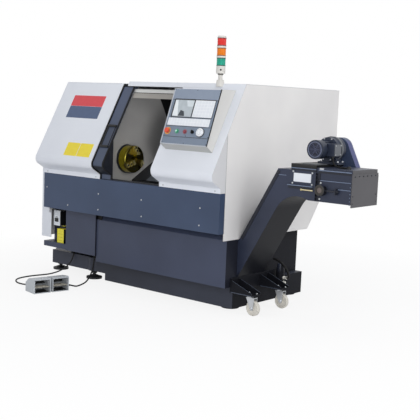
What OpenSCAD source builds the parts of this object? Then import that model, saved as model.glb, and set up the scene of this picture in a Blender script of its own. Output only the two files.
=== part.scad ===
// Slant-bed turning lathe with its docked chip conveyor and foot switch.
// X runs along the spindle towards the conveyor, Y to the back, Z up from the floor.

/* [Enclosure] */
// Length of the sheet-metal enclosure
enclosure_l = 1950; // [1940:1:1960]
// Depth from the belt panel's face to the rear panel
enclosure_d = 1565; // [1540:5:1640]
// Height of the roof above the floor
roof_z = 1700; // [1695:1:1730]
// Distance of the roof's front edge behind the belt panel's face
roof_front_y = 257; // [250:1:265]
// Lean of the front covers from the vertical
slope_angle = 28.5; // [28:0.1:29]
// Rise of the covers' underside towards the nose
under_angle = 30.6; // [29:0.2:32]
// Radius of the rolled nose
nose_r = 55; // [48:1:60]
// Thickness of the enclosure sheet
sheet_t = 4; // [3:0.5:4.5]
// Step down of the roof over the left cover
roof_step = 17; // [12:1:22]
// Height of the roof's front lip along the slope
roof_lip_h = 38; // [32:1:40]
// Height of the straight upper part of the rear panel
rear_straight_h = 650; // [620:5:680]
// Forward run of the leaning lower rear panel
rear_lean = 385; // [370:1:390]
// Height of the side panels' lower edge
side_bottom_z = 545; // [530:1:560]
// Depth of the covers' end plates behind the belt panel's face
seam_y = 60; // [50:1:70]
// Length of the left front cover
left_cover_l = 689; // [680:1:700]
// Length of the right front cover
right_cover_l = 604; // [598:1:610]
// Outward bulge of the left end cover over the belt drive
bulge_w = 121; // [112:1:140]
// Lower edge of the bulge
bulge_z0 = 325; // [310:1:340]
// Upper edge of the bulge
bulge_z1 = 1190; // [1180:1:1220]
// Front face of the bulge
bulge_y0 = 85; // [80:1:95]
// Rear face of the bulge
bulge_y1 = 1060; // [1000:5:1100]

/* [Belt panel and lower boxes] */
// Height of the belt panel's top edge
belt_top_z = 900; // [895:1:905]
// Height of the belt panel
belt_h = 300; // [290:1:304]
// Height of the strip between belt panel and nose
strip_h = 36; // [32:1:40]
// Face of the chip tank behind the belt panel's face
tank_y = 103; // [98:1:110]
// Left end of the chip tank
tank_x = -416; // [-422:1:-412]
// Height of the tank's leaning lip
tank_lip_h = 44; // [38:1:48]
// Width of the lower left panel
left_panel_w = 370; // [360:1:380]
// Face of the lower left panel
left_panel_y = 90; // [85:1:96]
// Lower edge of the lower left panel
left_panel_z = 235; // [225:1:250]
// Height of the lower left panel
left_panel_h = 355; // [345:1:360]
// Depth of the lubricator's niche
niche_d = 140; // [136:1:150]
// Height of the lubricator's shelf
shelf_z = 285; // [278:1:292]
// Thickness of the lubricator's shelf
shelf_t = 45; // [38:1:48]

/* [Lubrication] */
// Left side of the lubricator behind the enclosure's left end
lub_in = 8; // [4:1:14]
// Width of the lubricator
lub_w = 90; // [80:1:100]
// Height of the lubricator
lub_h = 132; // [124:1:140]
// Width of the oil bottle
bottle_w = 92; // [84:1:98]
// Depth of the oil bottle
bottle_d = 95; // [85:1:100]
// Height of the oil bottle's body
bottle_h = 122; // [110:1:126]
// Diameter of the oil bottle's neck
bottle_neck_d = 50; // [40:1:56]
// Height of the oil bottle's neck
bottle_neck_h = 26; // [20:1:30]

/* [Rear cabinet] */
// Width of the cabinet door
cabinet_w = 720; // [680:5:760]
// Height of the cabinet door
cabinet_h = 500; // [460:5:540]
// Left edge of the cabinet door along X
cabinet_x = -300; // [-340:5:-260]
// Overlap of the door round the cabinet's opening
cabinet_lap = 20; // [15:1:26]
// Thickness of the cabinet door
cabinet_door_t = 4; // [3:0.5:5]
// Height of the cabinet door's handle above its face
cabinet_handle = 26; // [22:1:30]
// Radius of the hinge pins
hinge_r = 4; // [3:0.5:5]
// Length of a hinge knuckle
knuckle_l = 60; // [50:1:70]
// Distance of the hinges from the door's upper and lower edge
hinge_in = 60; // [50:1:80]

/* [Base and bed] */
// Left end of the base casting
base_x0 = -1096; // [-1100:1:-1090]
// Right end of the base casting
base_x1 = 964; // [955:1:970]
// Front face of the base casting
base_y0 = 214; // [208:1:220]
// Gap between the base casting and the foot of the rear panel
base_gap = 30; // [20:1:50]
// Underside of the base casting at the left
plinth_z0 = 70; // [64:1:80]
// Top face of the base casting
plinth_z1 = 187; // [184:1:190]
// Lower edge of the base casting's skirt at the right
skirt_z = 12; // [8:1:30]
// Diameter of a levelling pad
pad_d = 137; // [125:1:145]
// Height of a levelling pad's rim
pad_h = 16; // [12:1:18]
// Height of a levelling pad with its cone
cone_h = 30; // [26:1:34]
// Diameter of a levelling screw
stud_d = 30; // [24:1:36]
// Diameter of the bosses over the levelling screws
boss_d = 100; // [80:1:110]
// Distance of the rear levelling feet from the base's rear face
rear_foot_in = 90; // [86:1:110]
// Left levelling feet along X
foot_x0 = -1085; // [-1090:1:-1080]
// Middle levelling feet along X
foot_x1 = -586; // [-600:1:-570]
// Right levelling feet along X
foot_x2 = 880; // [860:1:890]
// Slant of the bed from the level
bed_angle = 30; // [29:0.2:31]
// Front edge of the slanted way face behind the belt panel's face
way_y = 600; // [596:1:606]
// Height of the slanted way face's front edge
way_z = 800; // [795:1:805]
// Length of the slanted way face up the slope
way_face_l = 560; // [555:1:575]
// Width of a box way
way_w = 70; // [60:1:76]
// Height of the box ways
way_h = 40; // [39:0.5:44]
// Left end of the bed
bed_x0 = -560; // [-570:1:-540]
// Right end of the bed
bed_x1 = 900; // [890:1:915]

/* [Spindle] */
// Diameter of the bar hole in the left end cover
bar_hole_d = 110; // [90:1:130]
// Height of the spindle axis
spindle_z = 1050; // [1045:1:1055]
// Depth of the spindle axis behind the belt panel's face
spindle_y = 420; // [415:1:425]
// Rear end of the headstock
headstock_x0 = -880; // [-890:1:-870]
// Front end of the headstock
headstock_x1 = -440; // [-446:1:-438]
// Radius of the headstock's round top
headstock_r = 175; // [160:1:185]
// Outside diameter of the spindle bearings
bearing_d = 170; // [160:1:180]
// Length of a spindle bearing set
bearing_l = 60; // [50:1:80]
// Spindle diameter
spindle_d = 120; // [110:1:126]
// Through bore of the spindle
spindle_bore = 62; // [52:1:66]
// Through hole of the chuck
chuck_bore = 56; // [46:1:60]
// Diameter of the spindle nose
nose_d = 172; // [165:1:190]
// Chuck diameter
chuck_d = 230; // [224:1:240]
// Length of the chuck body
chuck_l = 85; // [80:1:92]
// Width of a chuck jaw
jaw_w = 40; // [34:1:44]
// Stroke of a jaw to either side of rest
jaw_stroke = 4; // [3:0.5:5]
// Face of the splash wall round the chuck
wall_x = -400; // [-404:1:-398]
// Diameter of the spindle pulley
spindle_pulley_d = 220; // [205:1:230]
// Diameter of the motor pulley
motor_pulley_d = 150; // [140:1:160]
// Width of the pulleys
pulley_w = 74; // [68:1:78]
// Depth of the motor axis behind the belt panel's face
motor_y = 850; // [835:1:865]
// Height of the motor axis
motor_z = 425; // [415:1:440]
// Diameter of the spindle motor
motor_d = 260; // [240:1:270]
// Diameter of the motor shaft
motor_shaft_d = 42; // [38:1:48]
// Radial running clearance of shafts
run_clear = 0.05; // [0.03:0.01:0.08]
// Clearance between sliding faces
slide_clear = 0.3; // [0.25:0.05:0.5]

/* [Carriage] */
// Left face of the saddle
saddle_x = 60; // [55:1:65]
// Length of the saddle along the bed
saddle_l = 300; // [290:1:310]
// Thickness of the saddle
saddle_t = 60; // [55:1:64]
// Thickness of the cross slide
cross_t = 60; // [55:1:64]
// Distance of the turret axis from the spindle axis up the slope
turret_offset = 290; // [284:1:296]
// Width across corners of the turret disc
turret_d = 300; // [285:1:306]
// Thickness of the turret disc
turret_t = 90; // [84:1:94]
// Diameter of the turret's shaft
turret_shaft_d = 80; // [70:1:90]
// Diameter of the ball screw
screw_d = 32; // [28:1:33]
// Height of the way covers above the way face
leaf_n = 110; // [108:1:113]

/* [Door and panel] */
// Width of the sliding door
door_w = 570; // [562:1:580]
// Width of the door's leading stile
stile_w = 132; // [126:1:138]
// Inset of the door behind the covers' outer face
door_inset = 10; // [8.5:0.5:12]
// Width of the control panel
panel_w = 455; // [446:1:462]
// Height of the control panel along its face
panel_h = 442; // [436:1:446]
// Lean of the control panel from the vertical
panel_angle = 20; // [19.5:0.1:20.5]
// Height of the control panel's top edge
panel_top_z = 1651; // [1645:1:1656]
// Depth of the panel's top edge behind the belt panel's face
panel_top_y = 70; // [64:1:76]
// Drop of the housing's underside towards the cover
panel_drop = 43; // [38:1:48]
// Diameter of the panel's push buttons
button_d = 24; // [20:1:28]
// Diameter of the emergency stop's head
estop_d = 38; // [34:1:42]
// Diameter of the handwheel dial
dial_d = 62; // [54:1:68]

/* [Signal tower] */
// Position of the tower along X
tower_x = 730; // [700:1:760]
// Lens diameter
lens_d = 70; // [64:1:76]
// Height of one lens
lens_h = 61; // [56:1:66]
// Height of a ring between lenses
ring_h = 13; // [10:1:16]
// Height of the lowest lens above the roof
pole_h = 129; // [120:1:135]
// Height of the grey body under the lenses
tower_body_h = 56; // [50:1:62]
// Diameter of the tower's neck
tower_neck_d = 33; // [28:1:38]
// Diameter of the tower's foot
tower_foot_d = 64; // [58:1:70]
// Reach of the foot below the roof's front edge
tower_foot_drop = 24; // [18:1:28]
// Height of the foot's cone above the roof's edge
tower_foot_h = 26; // [20:1:32]
// Height of the tower's cap
tower_cap_h = 14; // [10:1:18]
// Wall of a push-in collar between neck and body
tower_collar = 4; // [3:0.5:6]

/* [Conveyor] */
// Front face of the conveyor trough
conv_y0 = 240; // [238:1:246]
// Rear face of the conveyor trough
conv_y1 = 580; // [570:1:584]
// Incline of the conveyor
conv_angle = 60; // [59:0.2:61]
// Height of the head's top above the floor
head_z = 1106; // [1100:1:1110]
// Height of the head's side plates
head_h = 206; // [202:1:212]
// Far end of the head
head_x = 1919; // [1910:1:1930]
// Thickness of the trough
conv_t = 143; // [140:1:148]
// Start of the incline's lower edge at the trough floor
bend_x = 945; // [940:1:950]
// Radius of the arch under the head
arch_r = 205; // [195:1:212]
// Drive shaft along X
drive_x = 1684; // [1678:1:1690]
// Height of the drive shaft
drive_z = 983; // [980:1:990]
// Diameter of the drive shaft
drive_d = 40; // [35:1:45]
// Gearmotor axis along X
gear_x = 1594; // [1586:1:1600]
// Height of the gearmotor axis
gear_z = 1258; // [1250:1:1264]
// Diameter of the gearmotor's fan cowl
cowl_d = 134; // [128:1:142]
// Diameter of the gear case
case_d = 172; // [160:1:180]
// Left end of the lid under the gearmotor
lid_x = 1423; // [1418:1:1430]
// Length of the lid under the gearmotor
lid_l = 211; // [205:1:214]
// Height of the lid under the gearmotor
lid_h = 44; // [40:1:50]
// Height of the caster trays' underside
caster_plate_z = 152; // [148:1:158]
// Wheel diameter of the casters
caster_d = 116; // [108:1:120]
// Wheel width of the casters
caster_w = 34; // [30:1:38]
// Trail of the caster wheels behind their pivots
caster_trail = 30; // [25:1:34]
// Caster pivots along X
caster_x = 1138; // [1130:1:1146]

/* [Foot switch] */
// Width of one pedal housing
pedal_w = 146; // [140:1:150]
// Gap between the two housings
pedal_gap = 16; // [12:1:20]
// Depth of the housings
pedal_l = 150; // [146:1:158]
// Height of the housings
pedal_h = 118; // [114:1:124]
// Wall of the housings
pedal_t = 6.5; // [5.5:0.5:8]
// Thickness of the hoods' top over the treadles
hood_top = 13; // [11:0.5:15]
// Middle of the housings' front edge along X
pedal_x = -381; // [-390:1:-370]
// Middle of the housings' front edge along Y
pedal_y = -402; // [-412:1:-396]
// Turn of the foot switch about the vertical
pedal_turn = -12; // [-14:0.5:-10]
// Diameter of the foot switch cables
cord_d = 12; // [10:0.5:12.5]

/* [Hidden] */
$fn = 64;

white = "#e8ebf1";
grey = "#c9c9cb";
navy = "#414d63";
slate = "#474b5c";
dark = "#363a47";
iron = "#5a6068";
steel = "#b9bcc0";
black = "#1c1d20";

x0 = -enclosure_l / 2;
x1 = enclosure_l / 2;
belt_z0 = belt_top_z - belt_h;
strip_z = belt_top_z + strip_h;
left_cover_x1 = x0 + left_cover_l;
right_cover_x0 = x1 - right_cover_l;
left_roof_z = roof_z - roof_step;
lip_z = roof_z - roof_lip_h;
roof_step_x = left_cover_x1 + 55;
rear_foot_y = enclosure_d - rear_lean;
rear_knee_z = roof_z - rear_straight_h;
base_y1 = rear_foot_y - base_gap;
tank_z0 = plinth_z1;
tank_z1 = side_bottom_z;
tank_y1 = way_y - 4;
tank_x1 = x1;
pedal_span = 2 * pedal_w + pedal_gap;

// The part's origin lies on the floor under the middle of its outer box
origin_x = (foot_x0 - pad_d / 2 + head_x + sheet_t) / 2;
origin_y = (pedal_y - cos(pedal_turn) * pedal_span / 2
    + enclosure_d + cabinet_door_t + cabinet_handle + slide_clear) / 2;

// Points of the front covers' section, in Y and Z, at a depth d under the outer face
slope_tan = tan(slope_angle);
under_tan = tan(under_angle);
function slope_y(z, d = 0) = roof_front_y - (roof_z - z) * slope_tan + d / cos(slope_angle);
nose_y = (roof_front_y - roof_z * slope_tan + slope_tan * (strip_z + nose_r / cos(under_angle))
    + nose_r / cos(slope_angle)) / (1 + slope_tan * under_tan);
nose_z = strip_z - nose_y * under_tan + nose_r / cos(under_angle);
function nose_at(a, d) = [nose_y + (nose_r - d) * cos(a), nose_z + (nose_r - d) * sin(a)];

// Everything is drawn from the enclosure's middle and set on the part's own origin
module place() translate([-origin_x, -origin_y, 0]) children();

// A box between two corners
module block(a, b) translate(a) cube(b - a);

// A section drawn in Y and Z, carried along X
module along_x(a, b) translate([a, 0, 0]) rotate([90, 0, 90]) linear_extrude(b - a) children();

// A section drawn in X and Z, carried along Y
module along_y(a, b) translate([0, b, 0]) rotate([90, 0, 0]) linear_extrude(b - a) children();

// A cylinder along X
module rod_x(a, b, y, z, r) translate([a, y, z]) rotate([0, 90, 0]) cylinder(h = b - a, r = r);

// A cylinder along Y
module rod_y(a, b, x, z, r) translate([x, b, z]) rotate([90, 0, 0]) cylinder(h = b - a, r = r);

// The front covers' section at a depth d, from z_low to z_high and back to y_back
module cover_section(d, z_low, z_high, y_back) {
    polygon([
        [slope_y(z_high, d), z_high],
        nose_at(180 - slope_angle, d),
        nose_at(270 - under_angle, d),
        [d, strip_z - d * under_tan + d / cos(under_angle)],
        [d, z_low],
        [y_back, z_low],
        [y_back, z_high]
    ]);
    translate([nose_y, nose_z]) circle(r = nose_r - d);
}

// A formed skin that follows the front covers' section
module cover_skin(a, b, d, t, z_low, z_high) {
    difference() {
        along_x(a, b) cover_section(d, z_low, z_high, 380);
        along_x(a - 1, b + 1) cover_section(d + t, z_low - 1, z_high + 1, 381);
    }
}

// An end plate of a front cover, back to y_back
module cover_end(a, d, z_low, z_high, y_back) {
    along_x(a, a + sheet_t) intersection() {
        cover_section(d, z_low, z_high, 380);
        translate([-200, z_low]) square([200 + y_back, z_high - z_low]);
    }
}

// The slanted way face: X along the bed, Y up the slope, Z off the face
module on_bed() translate([0, way_y, way_z]) rotate([bed_angle, 0, 0]) children();
spindle_s = (spindle_y - way_y) * cos(bed_angle) + (spindle_z - way_z) * sin(bed_angle);
spindle_n = (spindle_z - way_z) * cos(bed_angle) - (spindle_y - way_y) * sin(bed_angle);
way_s = [20, way_face_l - way_w - 20];
screw_s = way_face_l / 2 + 10;
screw_n = way_h / 2;
screw_block_l = 40;
screw_block_w = 70;
screw_block_in = 410;
screw_blocks = [bed_x0 + screw_block_in, bed_x1 - screw_block_l];
pedestal_rim = 20;
pedestal_front = 160;
pedestal_rear = 220;
pad_room = 10;
nut_h = 16;
nut_d = 1.75 * stud_d;
saddle_n0 = way_h + slide_clear;
saddle_n1 = saddle_n0 + saddle_t;
cross_n0 = saddle_n1 + slide_clear;
cross_n1 = cross_n0 + cross_t;
guide_h = 20;
guide_x = [saddle_x + 90, saddle_x + 210];
leaf_t = 3;
leaf_s = [-68, way_face_l + 40];
fixed_leaf_x = [wall_x + 2, saddle_x - 178];
moving_leaf_l = 280;
leaf_lift = 14;
turret_s = spindle_s + turret_offset;
turret_x = saddle_x - 10;

// The spindle's own frame: Z along the spindle towards the chuck
module on_spindle() translate([0, spindle_y, spindle_z]) rotate([0, 90, 0]) children();
chuck_x0 = headstock_x1 + 48;
chuck_x1 = chuck_x0 + chuck_l;
pulley_x0 = x0 - 90;
spindle_x0 = pulley_x0 - 5;
slot_d = 24;
jaw_angles = [180, 60, 300];
pedestal_z = spindle_z - 230;

// The control panel's face: X to the right, Y up the face, Z out of it
panel_x = (right_cover_x0 + x1 - panel_w) / 2;
panel_y0 = panel_top_y - panel_h * sin(panel_angle);
panel_z0 = panel_top_z - panel_h * cos(panel_angle);
module on_panel() translate([panel_x, panel_y0, panel_z0]) rotate([90 - panel_angle, 0, 0]) children();
fascia_t = 3;
fascia_rim = 5;
button_row = 103;
groove_v = 60;
screen_u = [38, 228];
screen_v = [218, 352];
estop_u = 41;
start_u = 134;
stop_u = 212;
selector_u = 286;
dial_u = 360;
stem_d = 16;
stem_l = 22;
push_room = 5;

conv_floor = tank_z0 + sheet_t;
conv_tan = tan(conv_angle);
conv_tail_x = -300;
tail_top = conv_floor + conv_t;
upper_bend_x = bend_x - conv_t / tan(90 - conv_angle / 2);
function lower_x(z) = bend_x + (z - conv_floor) / conv_tan;
function upper_x(z) = upper_bend_x + (z - tail_top) / conv_tan;
head_z0 = head_z - head_h;
arch_rise = 20;
arch_steps = 16;
arch_z = head_z0 + arch_rise - arch_r;
arch_x = lower_x(arch_z) + arch_r / sin(conv_angle);
bearing_housing_r = 40;
bearing_proud = 34;
flange_x = 6;
flange_t = 12;
flange_h = 20;
flange_in = 6;
tail_lip = 60;
lid_z = head_z + lid_h;
lid_x1 = lid_x + lid_l;
rear_lid_drop = 14;
lid_proud = 6;
caster_y = [conv_y0 - 35, conv_y1 - 5];
foot_plate_x = tank_x1 + 3;
axle_r = 5;
guard_y1 = conv_y1 + 60;
guard_top_r = 84;
guard_low_r = 92;
guard_shift = 34;
sprocket_r = 60;
hinge_plate_t = 6;

// Foot switch frame: X out of the hoods, Y along the pair, Z up
module on_pedal(i) {
    translate([pedal_x, pedal_y, 0]) rotate([0, 0, pedal_turn])
        translate([0, (i - 0.5) * (pedal_w + pedal_gap), 0]) children();
}
pin_r = 5;
pin_x = -pedal_l + 42;
pin_z = 34;

// Routes of the foot switch cables, chosen by hand, from the machine to the pedals
cord_1 = [
    [-535, 259.5, 300], [-535, 246, 300], [-535, 228, 294], [-535, 214, 282], [-535, 205, 264],
    [-534, 201, 240], [-533, 197, 205], [-530, 188, 155], [-524, 171, 104], [-514, 143, 62],
    [-498, 103, 30], [-478, 58, 12], [-454, 10, 6.6], [-430, -40, 6.6], [-410, -90, 7],
    [-396, -132, 10.5], [-394, -168, 20], [-398, -196, 28], [-403.4, -218.9, 30], [-407.6, -238.5, 30]
];
cord_2 = [
    [-800, 259.5, 230], [-800, 249, 230], [-801, 231, 224.5], [-802, 216, 213], [-804, 206, 195],
    [-807, 200, 170], [-814, 190, 134], [-828, 172, 97], [-852, 142, 60], [-884, 96, 30],
    [-918, 36, 12], [-946, -30, 6.6], [-962, -100, 6.6], [-968, -170, 6.6], [-962, -240, 6.6],
    [-942, -298, 6.6], [-906, -344, 6.6], [-856, -380, 7], [-800, -404, 9], [-742, -422, 14],
    [-690, -432, 19], [-640, -437, 24], [-600, -440, 28], [-564.5, -445.8, 30], [-544.9, -449.9, 30]
];

module base_casting() {
    color(dark) difference() {
        union() {
            block([base_x0, base_y0, plinth_z0], [tank_x, base_y1, plinth_z1]);
            block([tank_x, base_y0, skirt_z], [base_x1, base_y1, plinth_z1]);
            block(
                [headstock_x0 - pedestal_rim, spindle_y - pedestal_front, plinth_z1 - 1],
                [headstock_x1 + pedestal_rim / 2, spindle_y + pedestal_rear, pedestal_z]
            );
            along_x(bed_x0, bed_x1) bed_section();
            on_bed() for (s = way_s) block([bed_x0, s, -5], [bed_x1, s + way_w, way_h]);
            on_bed() for (x = screw_blocks) block(
                [x, screw_s - screw_block_w / 2, -5],
                [x + screw_block_l, screw_s + screw_block_w / 2, way_h - 2]
            );
            for (p = foot_places()) translate([p.x, p.y, plinth_z0])
                cylinder(h = plinth_z1 - plinth_z0, d = boss_d);
        }
        for (p = foot_places()) translate([p.x, p.y, 0]) cylinder(h = plinth_z0, d = pad_d + 2 * pad_room);
        on_bed() rod_x(bed_x0, bed_x1 + 1, screw_s, screw_n, screw_d / 2 + run_clear);
    }
}

module bed_section() {
    polygon([
        [way_y, plinth_z1 - 1],
        [way_y, way_z],
        [way_y + way_face_l * cos(bed_angle), way_z + way_face_l * sin(bed_angle)],
        [base_y1, way_z + way_face_l * sin(bed_angle)],
        [base_y1, plinth_z1 - 1]
    ]);
}

function foot_places() = [
    [foot_x0, base_y0 + 91], [foot_x0, base_y1 - rear_foot_in],
    [foot_x1, base_y0 + 36], [foot_x1, base_y1 - rear_foot_in],
    [foot_x2, base_y0 + 86], [foot_x2, base_y1 - rear_foot_in]
];

module leveling_feet() {
    color(black) for (p = foot_places()) translate([p.x, p.y, 0]) {
        cylinder(h = pad_h, d = pad_d);
        translate([0, 0, pad_h]) cylinder(h = cone_h - pad_h, d1 = pad_d - pad_h, d2 = 2 * stud_d);
        translate([0, 0, cone_h]) cylinder(h = plinth_z0 - cone_h, d = stud_d);
        translate([0, 0, cone_h + nut_h]) cylinder(h = nut_h, d = nut_d, $fn = 6);
    }
}

module headstock() {
    color(iron) difference() {
        union() {
            rod_x(headstock_x0, headstock_x1, spindle_y, spindle_z, headstock_r);
            block(
                [headstock_x0, spindle_y - headstock_r, pedestal_z],
                [headstock_x1, spindle_y + headstock_r, spindle_z]
            );
        }
        rod_x(headstock_x0 - 1, headstock_x1 + 1, spindle_y, spindle_z, bearing_d / 2);
    }
}

module spindle_bearings() {
    color(steel) for (x = [headstock_x0 + 10, headstock_x1 - 10 - bearing_l]) difference() {
        rod_x(x, x + bearing_l, spindle_y, spindle_z, bearing_d / 2 - run_clear);
        rod_x(x - 1, x + bearing_l + 1, spindle_y, spindle_z, spindle_d / 2 + run_clear);
    }
}

// A grooved pulley along X
module pulley(x, y, z, d) {
    difference() {
        rod_x(x, x + pulley_w, y, z, d / 2);
        for (i = [1:4]) translate([x + i * pulley_w / 5, y, z]) rotate([0, 90, 0])
            rotate_extrude() translate([d / 2, 0]) polygon([[0.5, -5], [0.5, 5], [-7, 2], [-7, -2]]);
    }
}

module spindle() {
    color(steel) difference() {
        union() {
            rod_x(spindle_x0, chuck_x0 - 20, spindle_y, spindle_z, spindle_d / 2);
            rod_x(headstock_x1 + 4, chuck_x0, spindle_y, spindle_z, nose_d / 2);
            pulley(pulley_x0, spindle_y, spindle_z, spindle_pulley_d);
        }
        rod_x(spindle_x0 - 1, chuck_x0 + 1, spindle_y, spindle_z, spindle_bore / 2);
    }
}

module chuck_body() {
    color("#8d8552") on_spindle() difference() {
        union() {
            translate([0, 0, chuck_x0]) cylinder(h = chuck_l - 4, d = chuck_d);
            translate([0, 0, chuck_x1 - 4]) cylinder(h = 4, d1 = chuck_d, d2 = chuck_d - 8);
        }
        translate([0, 0, chuck_x0 - 1]) cylinder(h = chuck_l + 2, d = chuck_bore);
        for (a = jaw_angles) rotate([0, 0, a]) block(
            [0, -jaw_w / 2 - slide_clear, chuck_x1 - slot_d],
            [chuck_d, jaw_w / 2 + slide_clear, chuck_x1 + 1]
        );
    }
}

// A stepped hard jaw, radial along X
module jaw(i) {
    r0 = chuck_bore / 2 + jaw_stroke + 8;
    r1 = chuck_d / 2 - jaw_stroke - 3;
    step = (r1 - r0) / 3;
    z0 = chuck_x1 - slot_d + slide_clear;
    color("#9a9468") on_spindle() rotate([0, 0, jaw_angles[i]]) {
        block([r0, -jaw_w / 2, z0], [r1, jaw_w / 2, chuck_x1 + 14]);
        block([r0, -jaw_w / 2, z0], [r0 + 2 * step, jaw_w / 2, chuck_x1 + 30]);
        block([r0, -jaw_w / 2, z0], [r0 + step, jaw_w / 2, chuck_x1 + 46]);
    }
}
module chuck_jaw_1() jaw(0);
module chuck_jaw_2() jaw(1);
module chuck_jaw_3() jaw(2);

motor_x0 = x0 + 20;
motor_l = 330;
motor_foot_in = 40;
motor_foot_t = 22;
motor_foot_w = motor_d - 40;
motor_leg = 60;
module spindle_motor() {
    color(dark) difference() {
        union() {
            rod_x(motor_x0, motor_x0 + motor_l, motor_y, motor_z, motor_d / 2);
            block(
                [motor_x0 + motor_foot_in, motor_y - motor_foot_w / 2, plinth_z1],
                [motor_x0 + motor_l - motor_foot_in, motor_y + motor_foot_w / 2, plinth_z1 + motor_foot_t]
            );
            block(
                [motor_x0 + motor_leg, motor_y - motor_leg, plinth_z1],
                [motor_x0 + motor_l - motor_leg, motor_y + motor_leg, motor_z]
            );
        }
        rod_x(motor_x0 - 1, motor_x0 + 70, motor_y, motor_z, motor_shaft_d / 2 + run_clear);
    }
}

module motor_pulley() {
    color(steel) {
        rod_x(pulley_x0 + pulley_w - 1, motor_x0 + 60, motor_y, motor_z, motor_shaft_d / 2);
        pulley(pulley_x0, motor_y, motor_z, motor_pulley_d);
    }
}

module drive_belt() {
    belt_t = 8;
    color(black) along_x(pulley_x0 + 6, pulley_x0 + pulley_w - 6) difference() {
        belt_loop(slide_clear + belt_t);
        belt_loop(slide_clear);
    }
}
module belt_loop(d) {
    hull() {
        translate([spindle_y, spindle_z]) circle(r = spindle_pulley_d / 2 + d, $fn = 96);
        translate([motor_y, motor_z]) circle(r = motor_pulley_d / 2 + d, $fn = 96);
    }
}

module saddle() {
    color(iron) on_bed() {
        difference() {
            union() {
                block([saddle_x, -20, saddle_n0], [saddle_x + saddle_l, way_face_l + 20, saddle_n1]);
                block([saddle_x, -20, 5], [saddle_x + saddle_l, way_s[0] - slide_clear, saddle_n0 + 1]);
                block(
                    [saddle_x, way_s[1] + way_w + slide_clear, 5],
                    [saddle_x + saddle_l, way_face_l + 20, saddle_n0 + 1]
                );
                block([saddle_x + 90, screw_s - 36, 2], [saddle_x + 210, screw_s + 36, saddle_n0 + 1]);
                block(
                    [guide_x[0], -10, saddle_n1 - 1],
                    [guide_x[1], way_face_l + 10, saddle_n1 + guide_h]
                );
            }
            rod_x(saddle_x - 1, saddle_x + saddle_l + 1, screw_s, screw_n, screw_d / 2 + run_clear);
        }
        block(
            [saddle_x - leaf_t, leaf_s[0], saddle_n1 - 20],
            [saddle_x, leaf_s[1], leaf_n + leaf_lift + leaf_t]
        );
        block(
            [saddle_x - moving_leaf_l, leaf_s[0], leaf_n + leaf_lift],
            [saddle_x, leaf_s[1], leaf_n + leaf_lift + leaf_t]
        );
    }
}

module way_cover() {
    color(dark) on_bed() {
        block([fixed_leaf_x[0], leaf_s[0], leaf_n], [fixed_leaf_x[1], leaf_s[1], leaf_n + leaf_t]);
        block([fixed_leaf_x[0], leaf_s[0], leaf_n - 40], [fixed_leaf_x[1], leaf_s[0] + leaf_t, leaf_n + 1]);
        for (s = [4, way_face_l - 10])
            block([fixed_leaf_x[0], s, 0], [screw_blocks[0] - 2, s + 6, leaf_n + 1]);
    }
}

module cross_slide() {
    case_r = 105;
    case_motor_r = 70;
    case_s = [turret_s - case_r, turret_s + case_r];
    case_x1 = saddle_x + saddle_l - 40;
    color(iron) on_bed() difference() {
        union() {
            block([saddle_x + 30, 30, cross_n0], [saddle_x + saddle_l - 30, way_face_l - 80, cross_n1]);
            block([turret_x + 20, case_s[0], cross_n1 - 1], [case_x1, case_s[1], spindle_n]);
            rod_x(turret_x + 4, case_x1, turret_s, spindle_n, case_r);
            rod_x(case_x1 - 1, case_x1 + 100, turret_s, spindle_n, case_motor_r);
        }
        block(
            [guide_x[0] - slide_clear, 0, cross_n0 - 1],
            [guide_x[1] + slide_clear, way_face_l, saddle_n1 + guide_h + slide_clear]
        );
        rod_x(turret_x, turret_x + 100, turret_s, spindle_n, turret_shaft_d / 2 + run_clear);
    }
}

module turret_disc() {
    pocket = 26;
    color(steel) on_bed() difference() {
        union() {
            translate([turret_x - turret_t, turret_s, spindle_n]) rotate([0, 90, 0])
                cylinder(h = turret_t, d = turret_d, $fn = 8);
            rod_x(turret_x - 1, turret_x + 96, turret_s, spindle_n, turret_shaft_d / 2);
        }
        translate([turret_x - turret_t, turret_s, spindle_n]) for (i = [0:7]) rotate([i * 45 + 22.5, 0, 0])
            block([14, turret_d / 2 - 46, -pocket / 2], [14 + pocket, turret_d, pocket / 2]);
    }
}

module z_ballscrew() {
    color(steel) on_bed()
        rod_x(screw_blocks[0], screw_blocks[1] + screw_block_l, screw_s, screw_n, screw_d / 2);
}

module chip_tank() {
    lip_lean = 25;
    color(slate) {
        difference() {
            block([tank_x, tank_y, tank_z0], [tank_x1, tank_y1, tank_z1]);
            block(
                [tank_x + sheet_t, tank_y + sheet_t, tank_z0 + sheet_t],
                [tank_x1 - sheet_t, tank_y1 - sheet_t, tank_z1 + 1]
            );
            block(
                [tank_x1 - sheet_t - 1, conv_y0 - 2, tank_z0 + sheet_t],
                [tank_x1 + 1, tank_y1 - sheet_t, tank_z1 + 1]
            );
        }
        along_x(tank_x + 60, tank_x1 - 45) polygon([
            [tank_y, tank_z1 - 1], [tank_y + sheet_t, tank_z1 - 1],
            [tank_y + lip_lean + sheet_t, tank_z1 + tank_lip_h], [tank_y + lip_lean, tank_z1 + tank_lip_h]
        ]);
    }
}

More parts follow.
